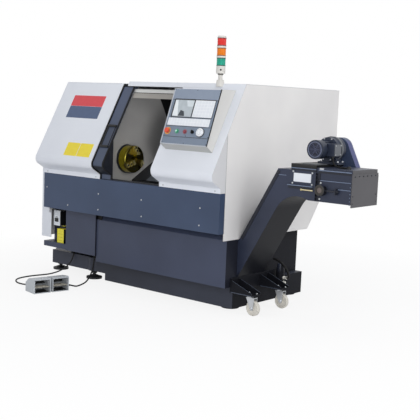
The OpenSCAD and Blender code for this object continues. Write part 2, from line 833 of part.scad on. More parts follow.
module splash_wall() {
    room = 75;
    wall_top = lip_z - 22;
    rise_s = way_face_l + 40;
    rise_n = way_h + 5;
    rear_y = way_y + rise_s * cos(bed_angle) - rise_n * sin(bed_angle);
    color("#a9abac") difference() {
        along_x(wall_x - sheet_t, wall_x) polygon([
            [tank_y + sheet_t, tank_z0 + sheet_t],
            [tank_y1 - sheet_t, tank_z0 + sheet_t],
            [tank_y1 - sheet_t, way_z + 45],
            [rear_y, way_z + rise_s * sin(bed_angle) + rise_n * cos(bed_angle)],
            [rear_y, wall_top],
            [slope_y(wall_top) + room, wall_top],
            [room, roof_z - roof_front_y / slope_tan],
            [room, belt_top_z + 5],
            [tank_y + sheet_t, belt_top_z + 5]
        ]);
        rod_x(wall_x - sheet_t - 1, wall_x + 1, spindle_y, spindle_z, chuck_d / 2 + 8);
    }
}

module belt_panel() {
    color(navy) difference() {
        block([x0, 0, belt_z0], [x1, seam_y, belt_top_z]);
        block([x0 + sheet_t, sheet_t, belt_z0 + sheet_t], [x1 - sheet_t, seam_y + 1, belt_top_z - sheet_t]);
    }
}

module lower_left_panel() {
    px = tank_x - left_panel_w;
    niche_x = x0 - bulge_w + sheet_t;
    shelf_in = 20;
    back_y = left_panel_y + niche_d;
    z1 = left_panel_z + left_panel_h;
    color(slate) {
        block([px, left_panel_y, left_panel_z], [tank_x, left_panel_y + sheet_t, z1]);
        block([px, left_panel_y, left_panel_z], [px + sheet_t, back_y, z1]);
        block([tank_x - sheet_t, left_panel_y, left_panel_z], [tank_x, back_y, tank_z1]);
        block([niche_x, back_y - sheet_t, shelf_z - shelf_t], [px + sheet_t, back_y, z1]);
        difference() {
            block([niche_x + shelf_in, left_panel_y, shelf_z - shelf_t], [px + 1, back_y, shelf_z]);
            block(
                [niche_x + shelf_in + sheet_t, left_panel_y + sheet_t, shelf_z - shelf_t - 1],
                [px - sheet_t, back_y - sheet_t, shelf_z - sheet_t]
            );
        }
    }
}

// The side of the enclosure behind the front covers, in Y and Z
module side_section(z_top) {
    polygon([
        [seam_y, side_bottom_z],
        [seam_y, roof_z - (roof_front_y - seam_y + sheet_t / cos(slope_angle)) / slope_tan],
        [slope_y(z_top, sheet_t), z_top],
        [enclosure_d, z_top],
        [enclosure_d, rear_knee_z],
        [rear_foot_y, side_bottom_z]
    ]);
}

module left_end_cover() {
    color(white) {
        difference() {
            along_x(x0, x0 + sheet_t) side_section(left_roof_z - sheet_t);
            block([x0 - 1, bulge_y0 + sheet_t, 0], [x0 + sheet_t + 1, bulge_y1 - sheet_t, bulge_z1 - sheet_t]);
        }
        difference() {
            block([x0 - bulge_w, bulge_y0, bulge_z0], [x0 + 1, bulge_y1, bulge_z1]);
            block(
                [x0 - bulge_w + sheet_t, bulge_y0 + sheet_t, bulge_z0 - 1],
                [x0 + 2, bulge_y1 - sheet_t, bulge_z1 - sheet_t]
            );
            rod_x(x0 - bulge_w - 1, x0 - bulge_w + sheet_t + 1, spindle_y, spindle_z, bar_hole_d / 2);
        }
    }
}

module left_front_cover() {
    color(white) {
        cover_skin(x0, left_cover_x1, 0, sheet_t, belt_top_z, left_roof_z - sheet_t);
        cover_end(x0, 0, belt_top_z, left_roof_z - sheet_t, seam_y);
    }
}

module right_front_cover() {
    color(white) {
        cover_skin(right_cover_x0, x1, 0, sheet_t, belt_top_z, lip_z);
        cover_end(x1 - sheet_t, 0, belt_top_z, lip_z, seam_y);
        cover_end(right_cover_x0, 0, belt_top_z, lip_z, 300);
    }
}

module right_side_panel() {
    color(grey) along_x(x1 - sheet_t, x1) side_section(roof_z - sheet_t);
}

cabinet_z = rear_knee_z + (rear_straight_h - roof_step - cabinet_h) / 2;
knuckle_r = hinge_r + 4;
hinge_x = cabinet_x - knuckle_r - 6;
hinge_y = enclosure_d + knuckle_r + 2;
hinge_z = [cabinet_z + hinge_in, cabinet_z + cabinet_h - hinge_in - knuckle_l];
module rear_panel() {
    run = sheet_t / cos(atan2(rear_knee_z - side_bottom_z, rear_lean));
    color(grey) {
        difference() {
            along_x(x0 + sheet_t, x1 - sheet_t) polygon([
                [enclosure_d, left_roof_z - sheet_t], [enclosure_d, rear_knee_z],
                [rear_foot_y, side_bottom_z],
                [rear_foot_y - run, side_bottom_z], [enclosure_d - sheet_t, rear_knee_z + 2],
                [enclosure_d - sheet_t, left_roof_z - sheet_t]
            ]);
            block(
                [cabinet_x + cabinet_lap, 0, cabinet_z + cabinet_lap],
                [cabinet_x + cabinet_w - cabinet_lap, enclosure_d + 1, cabinet_z + cabinet_h - cabinet_lap]
            );
        }
        block(
            [roof_step_x + sheet_t, enclosure_d - sheet_t, left_roof_z - sheet_t - 1],
            [x1 - sheet_t, enclosure_d, roof_z - sheet_t]
        );
        for (z = hinge_z) {
            translate([hinge_x, hinge_y, z - knuckle_l]) cylinder(h = knuckle_l, r = knuckle_r);
            block([hinge_x - knuckle_r, enclosure_d - 1, z - knuckle_l], [hinge_x + knuckle_r, hinge_y, z]);
            translate([hinge_x, hinge_y, z - 1]) cylinder(h = knuckle_l, r = hinge_r);
        }
    }
}

module cabinet_door() {
    handle_x = cabinet_x + cabinet_w - 40;
    handle_z = cabinet_z + cabinet_h / 2;
    handle_w = 20;
    handle_l = 120;
    y = enclosure_d + slide_clear;
    color(grey) {
        block([cabinet_x, y, cabinet_z], [cabinet_x + cabinet_w, y + cabinet_door_t, cabinet_z + cabinet_h]);
        for (z = hinge_z) difference() {
            union() {
                translate([hinge_x, hinge_y, z + slide_clear]) cylinder(h = knuckle_l, r = knuckle_r);
                block([hinge_x, y, z + slide_clear], [cabinet_x + 1, y + cabinet_door_t, z + knuckle_l]);
            }
            translate([hinge_x, hinge_y, z - 1]) cylinder(h = knuckle_l + 3, r = hinge_r + run_clear);
        }
        block(
            [handle_x - handle_w, y + cabinet_door_t - 1, handle_z - handle_l / 2],
            [handle_x, y + cabinet_door_t + cabinet_handle, handle_z + handle_l / 2]
        );
    }
}

module roof_cover() {
    color(white) {
        block([roof_step_x, roof_front_y, roof_z - sheet_t], [x1, enclosure_d, roof_z]);
        block(
            [x0, slope_y(left_roof_z), left_roof_z - sheet_t],
            [roof_step_x + sheet_t, enclosure_d, left_roof_z]
        );
        block(
            [roof_step_x, roof_front_y + sheet_t, left_roof_z - 1],
            [roof_step_x + sheet_t, enclosure_d, roof_z - 1]
        );
        along_x(roof_step_x, x1) polygon([
            [slope_y(lip_z), lip_z], [slope_y(roof_z), roof_z],
            [slope_y(roof_z, sheet_t), roof_z], [slope_y(lip_z, sheet_t), lip_z]
        ]);
    }
}

rail_in = door_inset + 2 * sheet_t + 8;
rail_out = rail_in + 30;
rail_z0 = lip_z - 62;
rail_z1 = lip_z - 22;
low_rail_w = 16;
low_rail_h = 12;
module door_rails() {
    color(white) {
        along_x(x0 + sheet_t, right_cover_x0) polygon([
            [slope_y(rail_z0, rail_in), rail_z0], [slope_y(rail_z1, rail_in), rail_z1],
            [slope_y(rail_z1, rail_out), rail_z1], [slope_y(rail_z0, rail_out), rail_z0]
        ]);
        block(
            [x0 + sheet_t, door_inset + 2 * sheet_t, belt_top_z],
            [right_cover_x0, door_inset + 2 * sheet_t + low_rail_w, belt_top_z + low_rail_h]
        );
    }
}

door_x1 = roof_step_x + 80;
door_x0 = door_x1 - door_w;
door_z0 = belt_top_z + 3;
door_z1 = lip_z - 6;
glass_z0 = 1120;
glass_z1 = 1560;
glass_x = [door_x0 + 60, door_x1 - stile_w - 20];
module door_panel() {
    hanger_in = door_inset + sheet_t;
    end_z = roof_z - roof_front_y / slope_tan;
    color("#4d566b") {
        difference() {
            cover_skin(door_x0, door_x1, door_inset, sheet_t, door_z0, door_z1);
            block([glass_x[0], -300, glass_z0], [glass_x[1], 600, glass_z1]);
        }
        cover_end(door_x1 - sheet_t, door_inset, door_z0, end_z, door_inset + sheet_t);
        for (x = [door_x0 + 20, door_x1 - 80]) along_x(x, x + 60) polygon([
            [slope_y(rail_z1 + slide_clear, hanger_in - 1), rail_z1 + slide_clear],
            [slope_y(door_z1, hanger_in - 1), door_z1],
            [slope_y(door_z1, rail_out), door_z1],
            [slope_y(rail_z1 + slide_clear, rail_out), rail_z1 + slide_clear]
        ]);
    }
}

module door_window() {
    lap = 15;
    glass_bed = 0.1;
    glass_t = 5;
    d0 = door_inset + sheet_t + glass_bed;
    d1 = d0 + glass_t;
    color("#9fb3b8", 0.5) along_x(glass_x[0] - lap, glass_x[1] + lap) polygon([
        [slope_y(glass_z0 - lap, d0), glass_z0 - lap], [slope_y(glass_z1 + lap, d0), glass_z1 + lap],
        [slope_y(glass_z1 + lap, d1), glass_z1 + lap], [slope_y(glass_z0 - lap, d1), glass_z0 - lap]
    ]);
}

lub_x = x0 + lub_in;
lub_back = left_panel_y + niche_d - sheet_t;
lub_z = shelf_z + bottle_h + bottle_neck_h;
module lubricator() {
    door_in = 16;
    door_proud = 6;
    front_y = left_panel_y + 18;
    color("#dfe4ea") {
        block([lub_x, front_y, lub_z], [lub_x + lub_w, lub_back, lub_z + lub_h]);
        block(
            [lub_x + door_in, front_y - door_proud, lub_z + 22],
            [lub_x + lub_w - door_in, front_y + 1, lub_z + 92]
        );
    }
}

module oil_bottle() {
    bottle_x = lub_x + 46;
    bottle_y = left_panel_y + 15;
    color("#e8dc35") {
        block([bottle_x, bottle_y, shelf_z], [bottle_x + bottle_w, bottle_y + bottle_d, shelf_z + bottle_h]);
        translate([bottle_x + bottle_w / 2, bottle_y + bottle_d / 2, shelf_z + bottle_h - 1])
            cylinder(h = bottle_neck_h + 1, d = bottle_neck_d);
    }
}

module control_housing() {
    under_z = panel_z0 - panel_drop;
    color(white) difference() {
        along_x(panel_x, panel_x + panel_w) polygon([
            [panel_y0, panel_z0], [panel_top_y, panel_top_z],
            [slope_y(panel_top_z), panel_top_z], [slope_y(under_z), under_z]
        ]);
        on_panel() panel_bores(stem_l + push_room + 3);
    }
}

// Bores of the panel's moving pieces, to a depth below the panel's face
module panel_bores(depth) {
    for (u = [estop_u, start_u, stop_u]) translate([u, button_row, -depth])
        cylinder(h = depth + 20, d = stem_d + 2 * slide_clear);
    for (u = [selector_u, dial_u]) translate([u, button_row, -depth])
        cylinder(h = depth + 20, d = stem_d + 2 * run_clear);
}

module panel_fascia() {
    color("#6d7789") on_panel() difference() {
        block([fascia_rim, fascia_rim, 0], [panel_w - fascia_rim, panel_h - fascia_rim, fascia_t]);
        block([fascia_rim - 1, groove_v - 2, fascia_t - 1], [panel_w, groove_v + 2, fascia_t + 1]);
        block([screen_u[0], screen_v[0], -1], [screen_u[1], screen_v[1], fascia_t + 1]);
        panel_bores(1);
    }
}

module screen() {
    color("#b9c2c6") on_panel() block(
        [screen_u[0] + slide_clear, screen_v[0] + slide_clear, 0],
        [screen_u[1] - slide_clear, screen_v[1] - slide_clear, fascia_t - 1]
    );
}

// A push button's stem below the face and cap above it
module push_button(u, d, h, lift) {
    on_panel() translate([u, button_row, 0]) {
        translate([0, 0, -stem_l]) cylinder(h = stem_l + fascia_t + lift + 1, d = stem_d);
        translate([0, 0, fascia_t + lift]) cylinder(h = h - 3, d = d);
        translate([0, 0, fascia_t + lift + h - 3]) cylinder(h = 3, d1 = d, d2 = d - 4);
    }
}
module estop_button() color("#e0472e") push_button(estop_u, estop_d, 16, push_room);
module start_button() color("#1f9b72") push_button(start_u, button_d, 9, push_room - 1);
module stop_button() color("#c9343a") push_button(stop_u, button_d, 9, push_room - 1);

module mode_selector() {
    color(black) on_panel() translate([selector_u, button_row, 0]) {
        translate([0, 0, -stem_l]) cylinder(h = stem_l + fascia_t + 1, d = stem_d);
        translate([0, 0, fascia_t + slide_clear]) cylinder(h = 8, d = button_d + 2);
        block([-4, -button_d / 2, fascia_t + 8], [4, button_d / 2, fascia_t + 20]);
    }
}

module handwheel() {
    color("#e6e7e8") on_panel() translate([dial_u, button_row, 0]) {
        translate([0, 0, -stem_l]) cylinder(h = stem_l + fascia_t + 1, d = stem_d);
        translate([0, 0, fascia_t + slide_clear]) cylinder(h = 12, d = dial_d);
        translate([0, 0, fascia_t + 12]) cylinder(h = 6, d1 = dial_d - 6, d2 = dial_d - 14);
        translate([dial_d / 2 - 14, 0, fascia_t + 17]) cylinder(h = 14, d = 13);
    }
}

tower_y = roof_front_y - 6;
lens_z = roof_z + pole_h;
module tower_pole() {
    foot_gap = 0.1;
    foot_z0 = roof_z - tower_foot_drop;
    neck_z = roof_z + tower_foot_h;
    body_z = lens_z - tower_body_h;
    taper = 8;
    color("#d9d6d0") {
        difference() {
            translate([tower_x, tower_y, foot_z0])
                cylinder(h = tower_foot_drop + tower_foot_h, d1 = tower_foot_d, d2 = tower_foot_d - taper);
            along_x(tower_x - tower_foot_d, tower_x + tower_foot_d) polygon([
                [slope_y(foot_z0 - 1, -foot_gap), foot_z0 - 1],
                [slope_y(roof_z + foot_gap, -foot_gap), roof_z + foot_gap],
                [roof_front_y + tower_foot_d, roof_z + foot_gap],
                [roof_front_y + tower_foot_d, foot_z0 - 1]
            ]);
        }
        translate([tower_x, tower_y, 0]) {
            translate([0, 0, neck_z - 1]) cylinder(h = body_z - neck_z + 1, d = tower_neck_d);
            translate([0, 0, body_z - tower_collar])
                cylinder(h = tower_collar + 1, d = tower_neck_d + 2 * tower_collar);
            translate([0, 0, body_z]) cylinder(h = tower_body_h, d = lens_d);
            for (i = [1, 2]) translate([0, 0, lens_z + i * lens_h + (i - 1) * ring_h])
                cylinder(h = ring_h, d = lens_d);
            translate([0, 0, lens_z + 3 * lens_h + 2 * ring_h])
                cylinder(h = tower_cap_h, d1 = lens_d, d2 = lens_d - taper);
        }
    }
}
module lens(i) {
    translate([tower_x, tower_y, lens_z + i * (lens_h + ring_h)]) cylinder(h = lens_h, d = lens_d - 2);
}
module tower_green() color("#1fa58a") lens(0);
module tower_amber() color("#f0851a") lens(1);
module tower_red() color("#f0433a") lens(2);

// Side outline of the conveyor, in X and Z, at a depth d inside its sheet
module conveyor_outline(d, x_end) {
    side = d / sin(conv_angle);
    arc_end = asin((head_z0 + d - arch_z) / (arch_r + d));
    arc_start = 90 + conv_angle;
    polygon(concat(
        [[conv_tail_x + d, conv_floor + d], [bend_x - d * tan(conv_angle / 2), conv_floor + d]],
        [for (i = [0:arch_steps]) let (a = arc_start + (arc_end - arc_start) * i / arch_steps)
            [arch_x + (arch_r + d) * cos(a), arch_z + (arch_r + d) * sin(a)]],
        [[x_end - d, head_z0 + d], [x_end - d, head_z - d], [upper_x(head_z - d) + side, head_z - d]],
        [[upper_x(tail_top - d) + side, tail_top - d], [conv_tail_x + d, tail_top - d]]
    ));
}

module conveyor_trough() {
    t = sheet_t;
    color(slate) difference() {
        union() {
            difference() {
                along_y(conv_y0, conv_y1) conveyor_outline(0, head_x);
                along_y(conv_y0 + t, conv_y1 - t) conveyor_outline(t, head_x);
                block(
                    [conv_tail_x + t, conv_y0 + t, tail_top - tail_lip],
                    [upper_bend_x - tail_lip, conv_y1 - t, tail_top + 1]
                );
                block([drive_x + 90, conv_y0 + t, head_z0 - 10], [head_x - t, conv_y1 - t, head_z0 + 10]);
            }
            rod_y(conv_y0 - bearing_proud, conv_y0 + 1, drive_x, drive_z, bearing_housing_r);
            block(
                [lid_x1 - flange_x, conv_y0 - flange_h, head_z0 + flange_in],
                [lid_x1 - flange_x + flange_t, conv_y0 + 1, head_z - flange_in]
            );
            block([lid_x, conv_y0 - lid_proud, head_z], [lid_x1, conv_y1, lid_z]);
            block([lid_x1, conv_y0, head_z], [head_x, conv_y1, lid_z - rear_lid_drop]);
            conveyor_foot();
        }
        rod_y(conv_y0 - 40, conv_y1 + 1, drive_x, drive_z, drive_d / 2 + run_clear);
    }
}

// Foot plate across the trough with two gusseted trays over the casters and the coolant pump
module conveyor_foot() {
    tray_w = 110;
    tray_x1 = caster_x + 52;
    tray_t = 8;
    gusset_t = 6;
    gusset_z = 245;
    plate_z1 = 258;
    pump_d = 66;
    pump_h = 100;
    pump_y = conv_y1 + 155;
    pump_x = foot_plate_x + 54;
    pump_tray = 45;
    inner_x = foot_plate_x + tray_t - 1;
    tray_z = caster_plate_z + tray_t;
    block([foot_plate_x, conv_y0 - 75, caster_plate_z], [foot_plate_x + tray_t, pump_y + 55, plate_z1]);
    for (y = caster_y) {
        block([inner_x, y - tray_w / 2, caster_plate_z], [tray_x1, y + tray_w / 2, tray_z]);
        for (g = [y - tray_w / 2, y + tray_w / 2 - gusset_t]) along_y(g, g + gusset_t) polygon([
            [inner_x, tray_z - 1], [tray_x1, tray_z - 1], [tray_x1, tray_z + 12],
            [foot_plate_x + 24, gusset_z], [inner_x, gusset_z]
        ]);
    }
    block([inner_x, pump_y - pump_tray, caster_plate_z], [pump_x + pump_tray, pump_y + pump_tray, tray_z]);
    translate([pump_x, pump_y, tray_z - 1]) cylinder(h = pump_h, d = pump_d);
    translate([pump_x, pump_y, tray_z + pump_h - 1]) cylinder(h = pump_h / 2, d1 = pump_d, d2 = 0.75 * pump_d);
}

module conveyor_belt() {
    color("#7a7d80") along_y(conv_y0 + 26, conv_y1 - 26) difference() {
        belt_path(0);
        belt_path(hinge_plate_t);
    }
}
// The hinged belt's loop over tail, bends and drive sprockets, at a depth d
module belt_path(d) {
    r = 50;
    mid = conv_floor + conv_t / 2;
    bend = (bend_x + upper_bend_x) / 2;
    top = (head_z + head_z0) / 2;
    stops = [
        [conv_tail_x + 70, mid, r], [bend, mid, r], [bend + (top - mid) / conv_tan, top, r],
        [drive_x, drive_z, sprocket_r + slide_clear + hinge_plate_t]
    ];
    for (i = [0:2]) hull() for (p = [stops[i], stops[i + 1]])
        translate([p[0], p[1]]) circle(r = p[2] - d, $fn = 48);
}

module conveyor_shaft() {
    color(steel) {
        rod_y(conv_y0 - 36, conv_y1 + 40, drive_x, drive_z, drive_d / 2);
        for (y = [conv_y0 + 62, conv_y1 - 50]) translate([drive_x, y, drive_z]) rotate([90, 0, 0]) sprocket();
    }
}
module sprocket() {
    difference() {
        cylinder(h = 12, r = sprocket_r);
        for (i = [0:7]) rotate([0, 0, i * 45]) translate([sprocket_r + 2, 0, -1]) cylinder(h = 14, r = 14);
    }
}

module conveyor_gearmotor() {
    foot_z = lid_z;
    color("#3d4556") {
        difference() {
            rod_y(conv_y0 + 22, conv_y0 + 82, gear_x, gear_z, cowl_d / 2);
            rod_y(conv_y0 + 21, conv_y0 + 30, gear_x, gear_z, cowl_d / 2 - 14);
        }
        rod_y(conv_y0 + 81, conv_y0 + 190, gear_x, gear_z, cowl_d / 2 - 10);
        for (i = [0:11]) translate([gear_x, 0, gear_z]) rotate([0, i * 30, 0])
            block([cowl_d / 2 - 14, conv_y0 + 84, -2], [cowl_d / 2 - 3, conv_y0 + 188, 2]);
        rod_y(conv_y0 + 189, conv_y1 - 40, gear_x, gear_z, case_d / 2);
        rod_y(conv_y0 + 240, conv_y0 + 256, gear_x, gear_z, case_d / 2 + 4);
        rod_y(conv_y1 - 41, conv_y1, gear_x, gear_z, 40);
        block([gear_x - 85, conv_y0 + 200, foot_z], [gear_x + 85, conv_y1 - 50, foot_z + 18]);
        block([gear_x - 60, conv_y0 + 215, foot_z], [gear_x + 60, conv_y1 - 60, gear_z]);
        block([gear_x + 50, conv_y0 + 96, gear_z - 44], [gear_x + 112, conv_y0 + 186, gear_z + 44]);
    }
}

module chain_guard() {
    color(navy) difference() {
        along_y(conv_y1, guard_y1) hull() {
            translate([gear_x, gear_z]) circle(r = guard_top_r, $fn = 48);
            translate([drive_x + guard_shift, drive_z]) circle(r = guard_low_r, $fn = 48);
        }
        rod_y(conv_y1 - 1, conv_y1 + 42, drive_x, drive_z, drive_d / 2 + slide_clear);
    }
}

module chute_plate() {
    plate_rear = 14;
    color("#5f5e60") difference() {
        block([head_x, conv_y0 - 6, head_z0 - 18], [head_x + sheet_t, conv_y1 + plate_rear, head_z + 6]);
        translate([head_x - 1, conv_y1 + plate_rear, head_z + 6]) rotate([12, 0, 0])
            translate([0, -4, -60]) cube([sheet_t + 2, 40, 120]);
    }
}

// Swivel fork under a bracket plate
module caster_fork(i) {
    leg_y = caster_w / 2 + 2;
    hub_r = 16;
    color("#9a9da1") translate([caster_x, caster_y[i], 0]) {
        translate([0, 0, caster_plate_z - 16]) cylinder(h = 16 - slide_clear, d = 48);
        block(
            [-22, -leg_y - 4, caster_plate_z - 20],
            [caster_trail + 20, leg_y + 4, caster_plate_z - 14]
        );
        for (s = [-1, 1]) along_y(s * (leg_y + 2) - 2, s * (leg_y + 2) + 2) {
            polygon([
                [-22, caster_plate_z - 15], [caster_trail - hub_r, caster_d / 2],
                [caster_trail + hub_r, caster_d / 2], [caster_trail + 20, caster_plate_z - 15]
            ]);
            translate([caster_trail, caster_d / 2]) circle(r = hub_r);
        }
        rod_y(-leg_y - 8, leg_y + 8, caster_trail, caster_d / 2, axle_r);
    }
}
module caster_fork_1() caster_fork(0);
module caster_fork_2() caster_fork(1);

module caster_wheel(i) {
    rim_r = caster_d / 2;
    color("#d8d4cc") translate([caster_x + caster_trail, caster_y[i], rim_r]) rotate([90, 0, 0]) difference() {
        union() {
            translate([0, 0, -caster_w / 2]) cylinder(h = caster_w, d = 34);
            translate([0, 0, -caster_w / 2 + 2]) rotate_extrude() polygon([
                [10, 4], [rim_r - 14, 4], [rim_r - 10, 0], [rim_r - 5, 0], [rim_r, 6],
                [rim_r, caster_w - 10], [rim_r - 5, caster_w - 4], [rim_r - 10, caster_w - 4],
                [rim_r - 14, caster_w - 8], [10, caster_w - 8]
            ]);
        }
        translate([0, 0, -caster_w]) cylinder(h = 2 * caster_w, r = axle_r + run_clear);
    }
}
module caster_wheel_1() caster_wheel(0);
module caster_wheel_2() caster_wheel(1);

module pedal_housing() {
    inner = pedal_w / 2 - pedal_t;
    color("#a9b0b8") for (i = [0, 1]) on_pedal(i) difference() {
        along_y(-pedal_w / 2, pedal_w / 2) polygon([
            [-pedal_l, 0], [0, 0], [0, pedal_h - 8], [-8, pedal_h],
            [-pedal_l + 50, pedal_h - 8], [-pedal_l, pedal_h - 45]
        ]);
        block([-pedal_l + 22, -inner, pedal_t], [1, inner, pedal_h / 2]);
        block([-pedal_l + 56, -inner, pedal_t], [1, inner, pedal_h - hood_top]);
        rod_y(-pedal_w / 2 + 2, pedal_w / 2 - 2, pin_x, pin_z, pin_r + run_clear);
    }
}

module treadle(i) {
    half = pedal_w / 2 - pedal_t - 1.5;
    color("#8f969e") on_pedal(i) {
        rod_y(-pedal_w / 2 + 3, pedal_w / 2 - 3, pin_x, pin_z, pin_r);
        along_y(-half, half) polygon([
            [pin_x - 6, pin_z - 4], [pin_x + 10, pin_z - 5], [-14, pin_z + 8],
            [-8, pin_z + 12], [-14, pin_z + 16], [pin_x, pin_z + 8]
        ]);
    }
}
module pedal_1() treadle(0);
module pedal_2() treadle(1);

// A round tube swept along a route's points
module cord(route) {
    sides = 8;
    last = len(route) - 1;
    function unit(v) = v / norm(v);
    function heading(i) = unit(route[min(i + 1, last)] - route[max(i - 1, 0)]);
    function across(t) = unit(cross(t, abs(t.z) > 0.9 ? [1, 0, 0] : [0, 0, 1]));
    rings = [
        for (i = [0:last]) let (t = heading(i), u = across(t), v = cross(t, u))
            for (k = [0:sides - 1]) let (a = 360 * k / sides)
                route[i] + cord_d / 2 * (u * cos(a) + v * sin(a))
    ];
    walls = [
        for (i = [0:last - 1], k = [0:sides - 1]) let (n = (k + 1) % sides)
            [i * sides + k, i * sides + n, (i + 1) * sides + n, (i + 1) * sides + k]
    ];
    caps = [[for (k = [sides - 1:-1:0]) k], [for (k = [0:sides - 1]) last * sides + k]];
    polyhedron(points = rings, faces = concat(walls, caps), convexity = 8);
}
module pedal_cord_1() color(black) cord(cord_1);
module pedal_cord_2() color(black) cord(cord_2);

place() base_casting();
place() leveling_feet();
place() headstock();
place() spindle_bearings();
place() spindle();
place() chuck_body();
place() chuck_jaw_1();
place() chuck_jaw_2();
place() chuck_jaw_3();
place() spindle_motor();
place() motor_pulley();
place() drive_belt();
place() saddle();
place() way_cover();
place() cross_slide();
place() turret_disc();
place() z_ballscrew();
place() chip_tank();
place() splash_wall();
place() belt_panel();
place() lower_left_panel();
place() left_end_cover();
place() left_front_cover();
place() right_front_cover();
place() right_side_panel();
place() rear_panel();
place() cabinet_door();
place() roof_cover();
place() door_rails();
place() door_panel();
place() door_window();
place() lubricator();
place() oil_bottle();
place() control_housing();
place() panel_fascia();
place() screen();
place() estop_button();
place() start_button();
place() stop_button();
place() mode_selector();
place() handwheel();
place() tower_pole();
place() tower_red();
place() tower_amber();
place() tower_green();
place() conveyor_trough();
place() conveyor_belt();
place() conveyor_shaft();
place() conveyor_gearmotor();
place() chain_guard();
place() chute_plate();
place() caster_fork_1();
place() caster_fork_2();
place() caster_wheel_1();
place() caster_wheel_2();
place() pedal_housing();
place() pedal_1();
place() pedal_2();
place() pedal_cord_1();
place() pedal_cord_2();
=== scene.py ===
"""Looks of a slant-bed turning lathe with its chip conveyor and foot switch, dressed on its solids."""

import math

import bpy
import numpy as np
from mathutils import Matrix, Vector


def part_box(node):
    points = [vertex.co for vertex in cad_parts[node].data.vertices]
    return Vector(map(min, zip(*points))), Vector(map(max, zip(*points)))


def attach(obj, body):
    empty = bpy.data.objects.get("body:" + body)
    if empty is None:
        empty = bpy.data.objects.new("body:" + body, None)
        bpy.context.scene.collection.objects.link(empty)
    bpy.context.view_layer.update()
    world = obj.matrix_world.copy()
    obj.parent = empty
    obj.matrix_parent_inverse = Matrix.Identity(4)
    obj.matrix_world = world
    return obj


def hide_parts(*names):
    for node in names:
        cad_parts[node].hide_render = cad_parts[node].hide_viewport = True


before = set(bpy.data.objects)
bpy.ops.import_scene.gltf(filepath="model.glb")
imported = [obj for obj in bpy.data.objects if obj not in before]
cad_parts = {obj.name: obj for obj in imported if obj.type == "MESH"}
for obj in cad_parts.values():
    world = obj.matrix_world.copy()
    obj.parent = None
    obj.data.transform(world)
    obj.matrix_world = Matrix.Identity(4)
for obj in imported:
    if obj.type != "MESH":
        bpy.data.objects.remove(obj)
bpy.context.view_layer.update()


# Camera: a standing person's eye in front of the machine's right end, looking a little down.
# Its place, aim, roll and lens follow the photograph's perspective.
eye = Vector((4.514, -5.443, 1.550))
yaw, pitch, roll = math.radians(39.19), math.radians(6.97), math.radians(-2.35)
ahead = Vector((-math.sin(yaw) * math.cos(pitch), math.cos(yaw) * math.cos(pitch), -math.sin(pitch)))
right = Vector((math.cos(yaw), math.sin(yaw), 0))
below = ahead.cross(right)
across = math.cos(roll) * right + math.sin(roll) * below
upward = math.sin(roll) * right - math.cos(roll) * below
scene = bpy.context.scene
camera = bpy.data.objects.new("camera", bpy.data.cameras.new("camera"))
camera.data.lens = 74.88
camera.data.sensor_width = 36
camera.matrix_world = Matrix((
    (across.x, upward.x, -ahead.x, eye.x),
    (across.y, upward.y, -ahead.y, eye.y),
    (across.z, upward.z, -ahead.z, eye.z),
    (0, 0, 0, 1),
))
scene.collection.objects.link(camera)
scene.camera = camera
scene.view_settings.view_transform = "Standard"


# Studio: a pale floor that runs out of sight, and soft light from the front, the right and above; the
# machine's own small work lamp lights the chuck from inside.
# Camera, mirror and glass rays see the room as white, and the floor fades to white away from the machine.
def linear(hex_colour):
    """An sRGB hex colour as linear red, green, blue and alpha."""
    parts = np.array([int(hex_colour[i:i + 2], 16) for i in (1, 3, 5)]) / 255
    low, high = parts / 12.92, ((parts + 0.055) / 1.055) ** 2.4
    return (*np.where(parts <= 0.04045, low, high), 1.0)


def node(tree, kind, inputs=(), **settings):
    """Adds one shader node of a kind, sets its fields, and sets or links each named input socket."""
    made = tree.nodes.new("ShaderNode" + kind)
    for field, value in settings.items():
        setattr(made, field, value)
    for socket, value in dict(inputs).items():
        if isinstance(value, bpy.types.NodeSocket):
            tree.links.new(value, made.inputs[socket])
        else:
            made.inputs[socket].default_value = value
    return made


def material(name):
    """An empty node material, its tree and its output's surface socket."""
    made = bpy.data.materials.new(name)
    made.use_nodes = True
    tree = made.node_tree
    tree.nodes.clear()
    return made, tree, node(tree, "OutputMaterial").inputs["Surface"]


def seen_rays(tree):
    """A factor that is 1 for camera, glossy and transmission rays, and 0 for the rest."""
    path = node(tree, "LightPath").outputs
    first = node(tree, "Math", {0: path["Is Camera Ray"], 1: path["Is Glossy Ray"]},
                 operation="MAXIMUM").outputs[0]
    return node(tree, "Math", {0: first, 1: path["Is Transmission Ray"]}, operation="MAXIMUM").outputs[0]


# Matt white paint: it takes a faint shade round the machine and fades to plain white between two reaches.
floor_half, shade_reach, white_reach = 40, 1.2, 3.4
floor_mesh = bpy.data.meshes.new("floor")
floor_mesh.from_pydata([
    (-floor_half, -floor_half, 0), (floor_half, -floor_half, 0),
    (floor_half, floor_half, 0), (-floor_half, floor_half, 0)], [], [(0, 1, 2, 3)])
floor = bpy.data.objects.new("floor", floor_mesh)
scene.collection.objects.link(floor)
paint, tree, surface = material("white_studio_floor")
matt = node(tree, "BsdfPrincipled", {"Base Color": linear("#F4F4F5"), "Roughness": 0.9})
glow = node(tree, "Emission", {"Color": (1, 1, 1, 1), "Strength": 1.0})
place = node(tree, "TexCoord").outputs["Object"]
reach = node(tree, "VectorMath", {0: place}, operation="LENGTH").outputs["Value"]
fade = node(tree, "MapRange", {0: reach, 1: shade_reach, 2: white_reach, 3: 0.85, 4: 1.0}).outputs[0]
share = node(tree, "Math", {0: seen_rays(tree), 1: fade}, operation="MULTIPLY").outputs[0]
mixed = node(tree, "MixShader", {0: share, 1: matt.outputs[0], 2: glow.outputs[0]})
tree.links.new(mixed.outputs[0], surface)
floor_mesh.materials.append(paint)

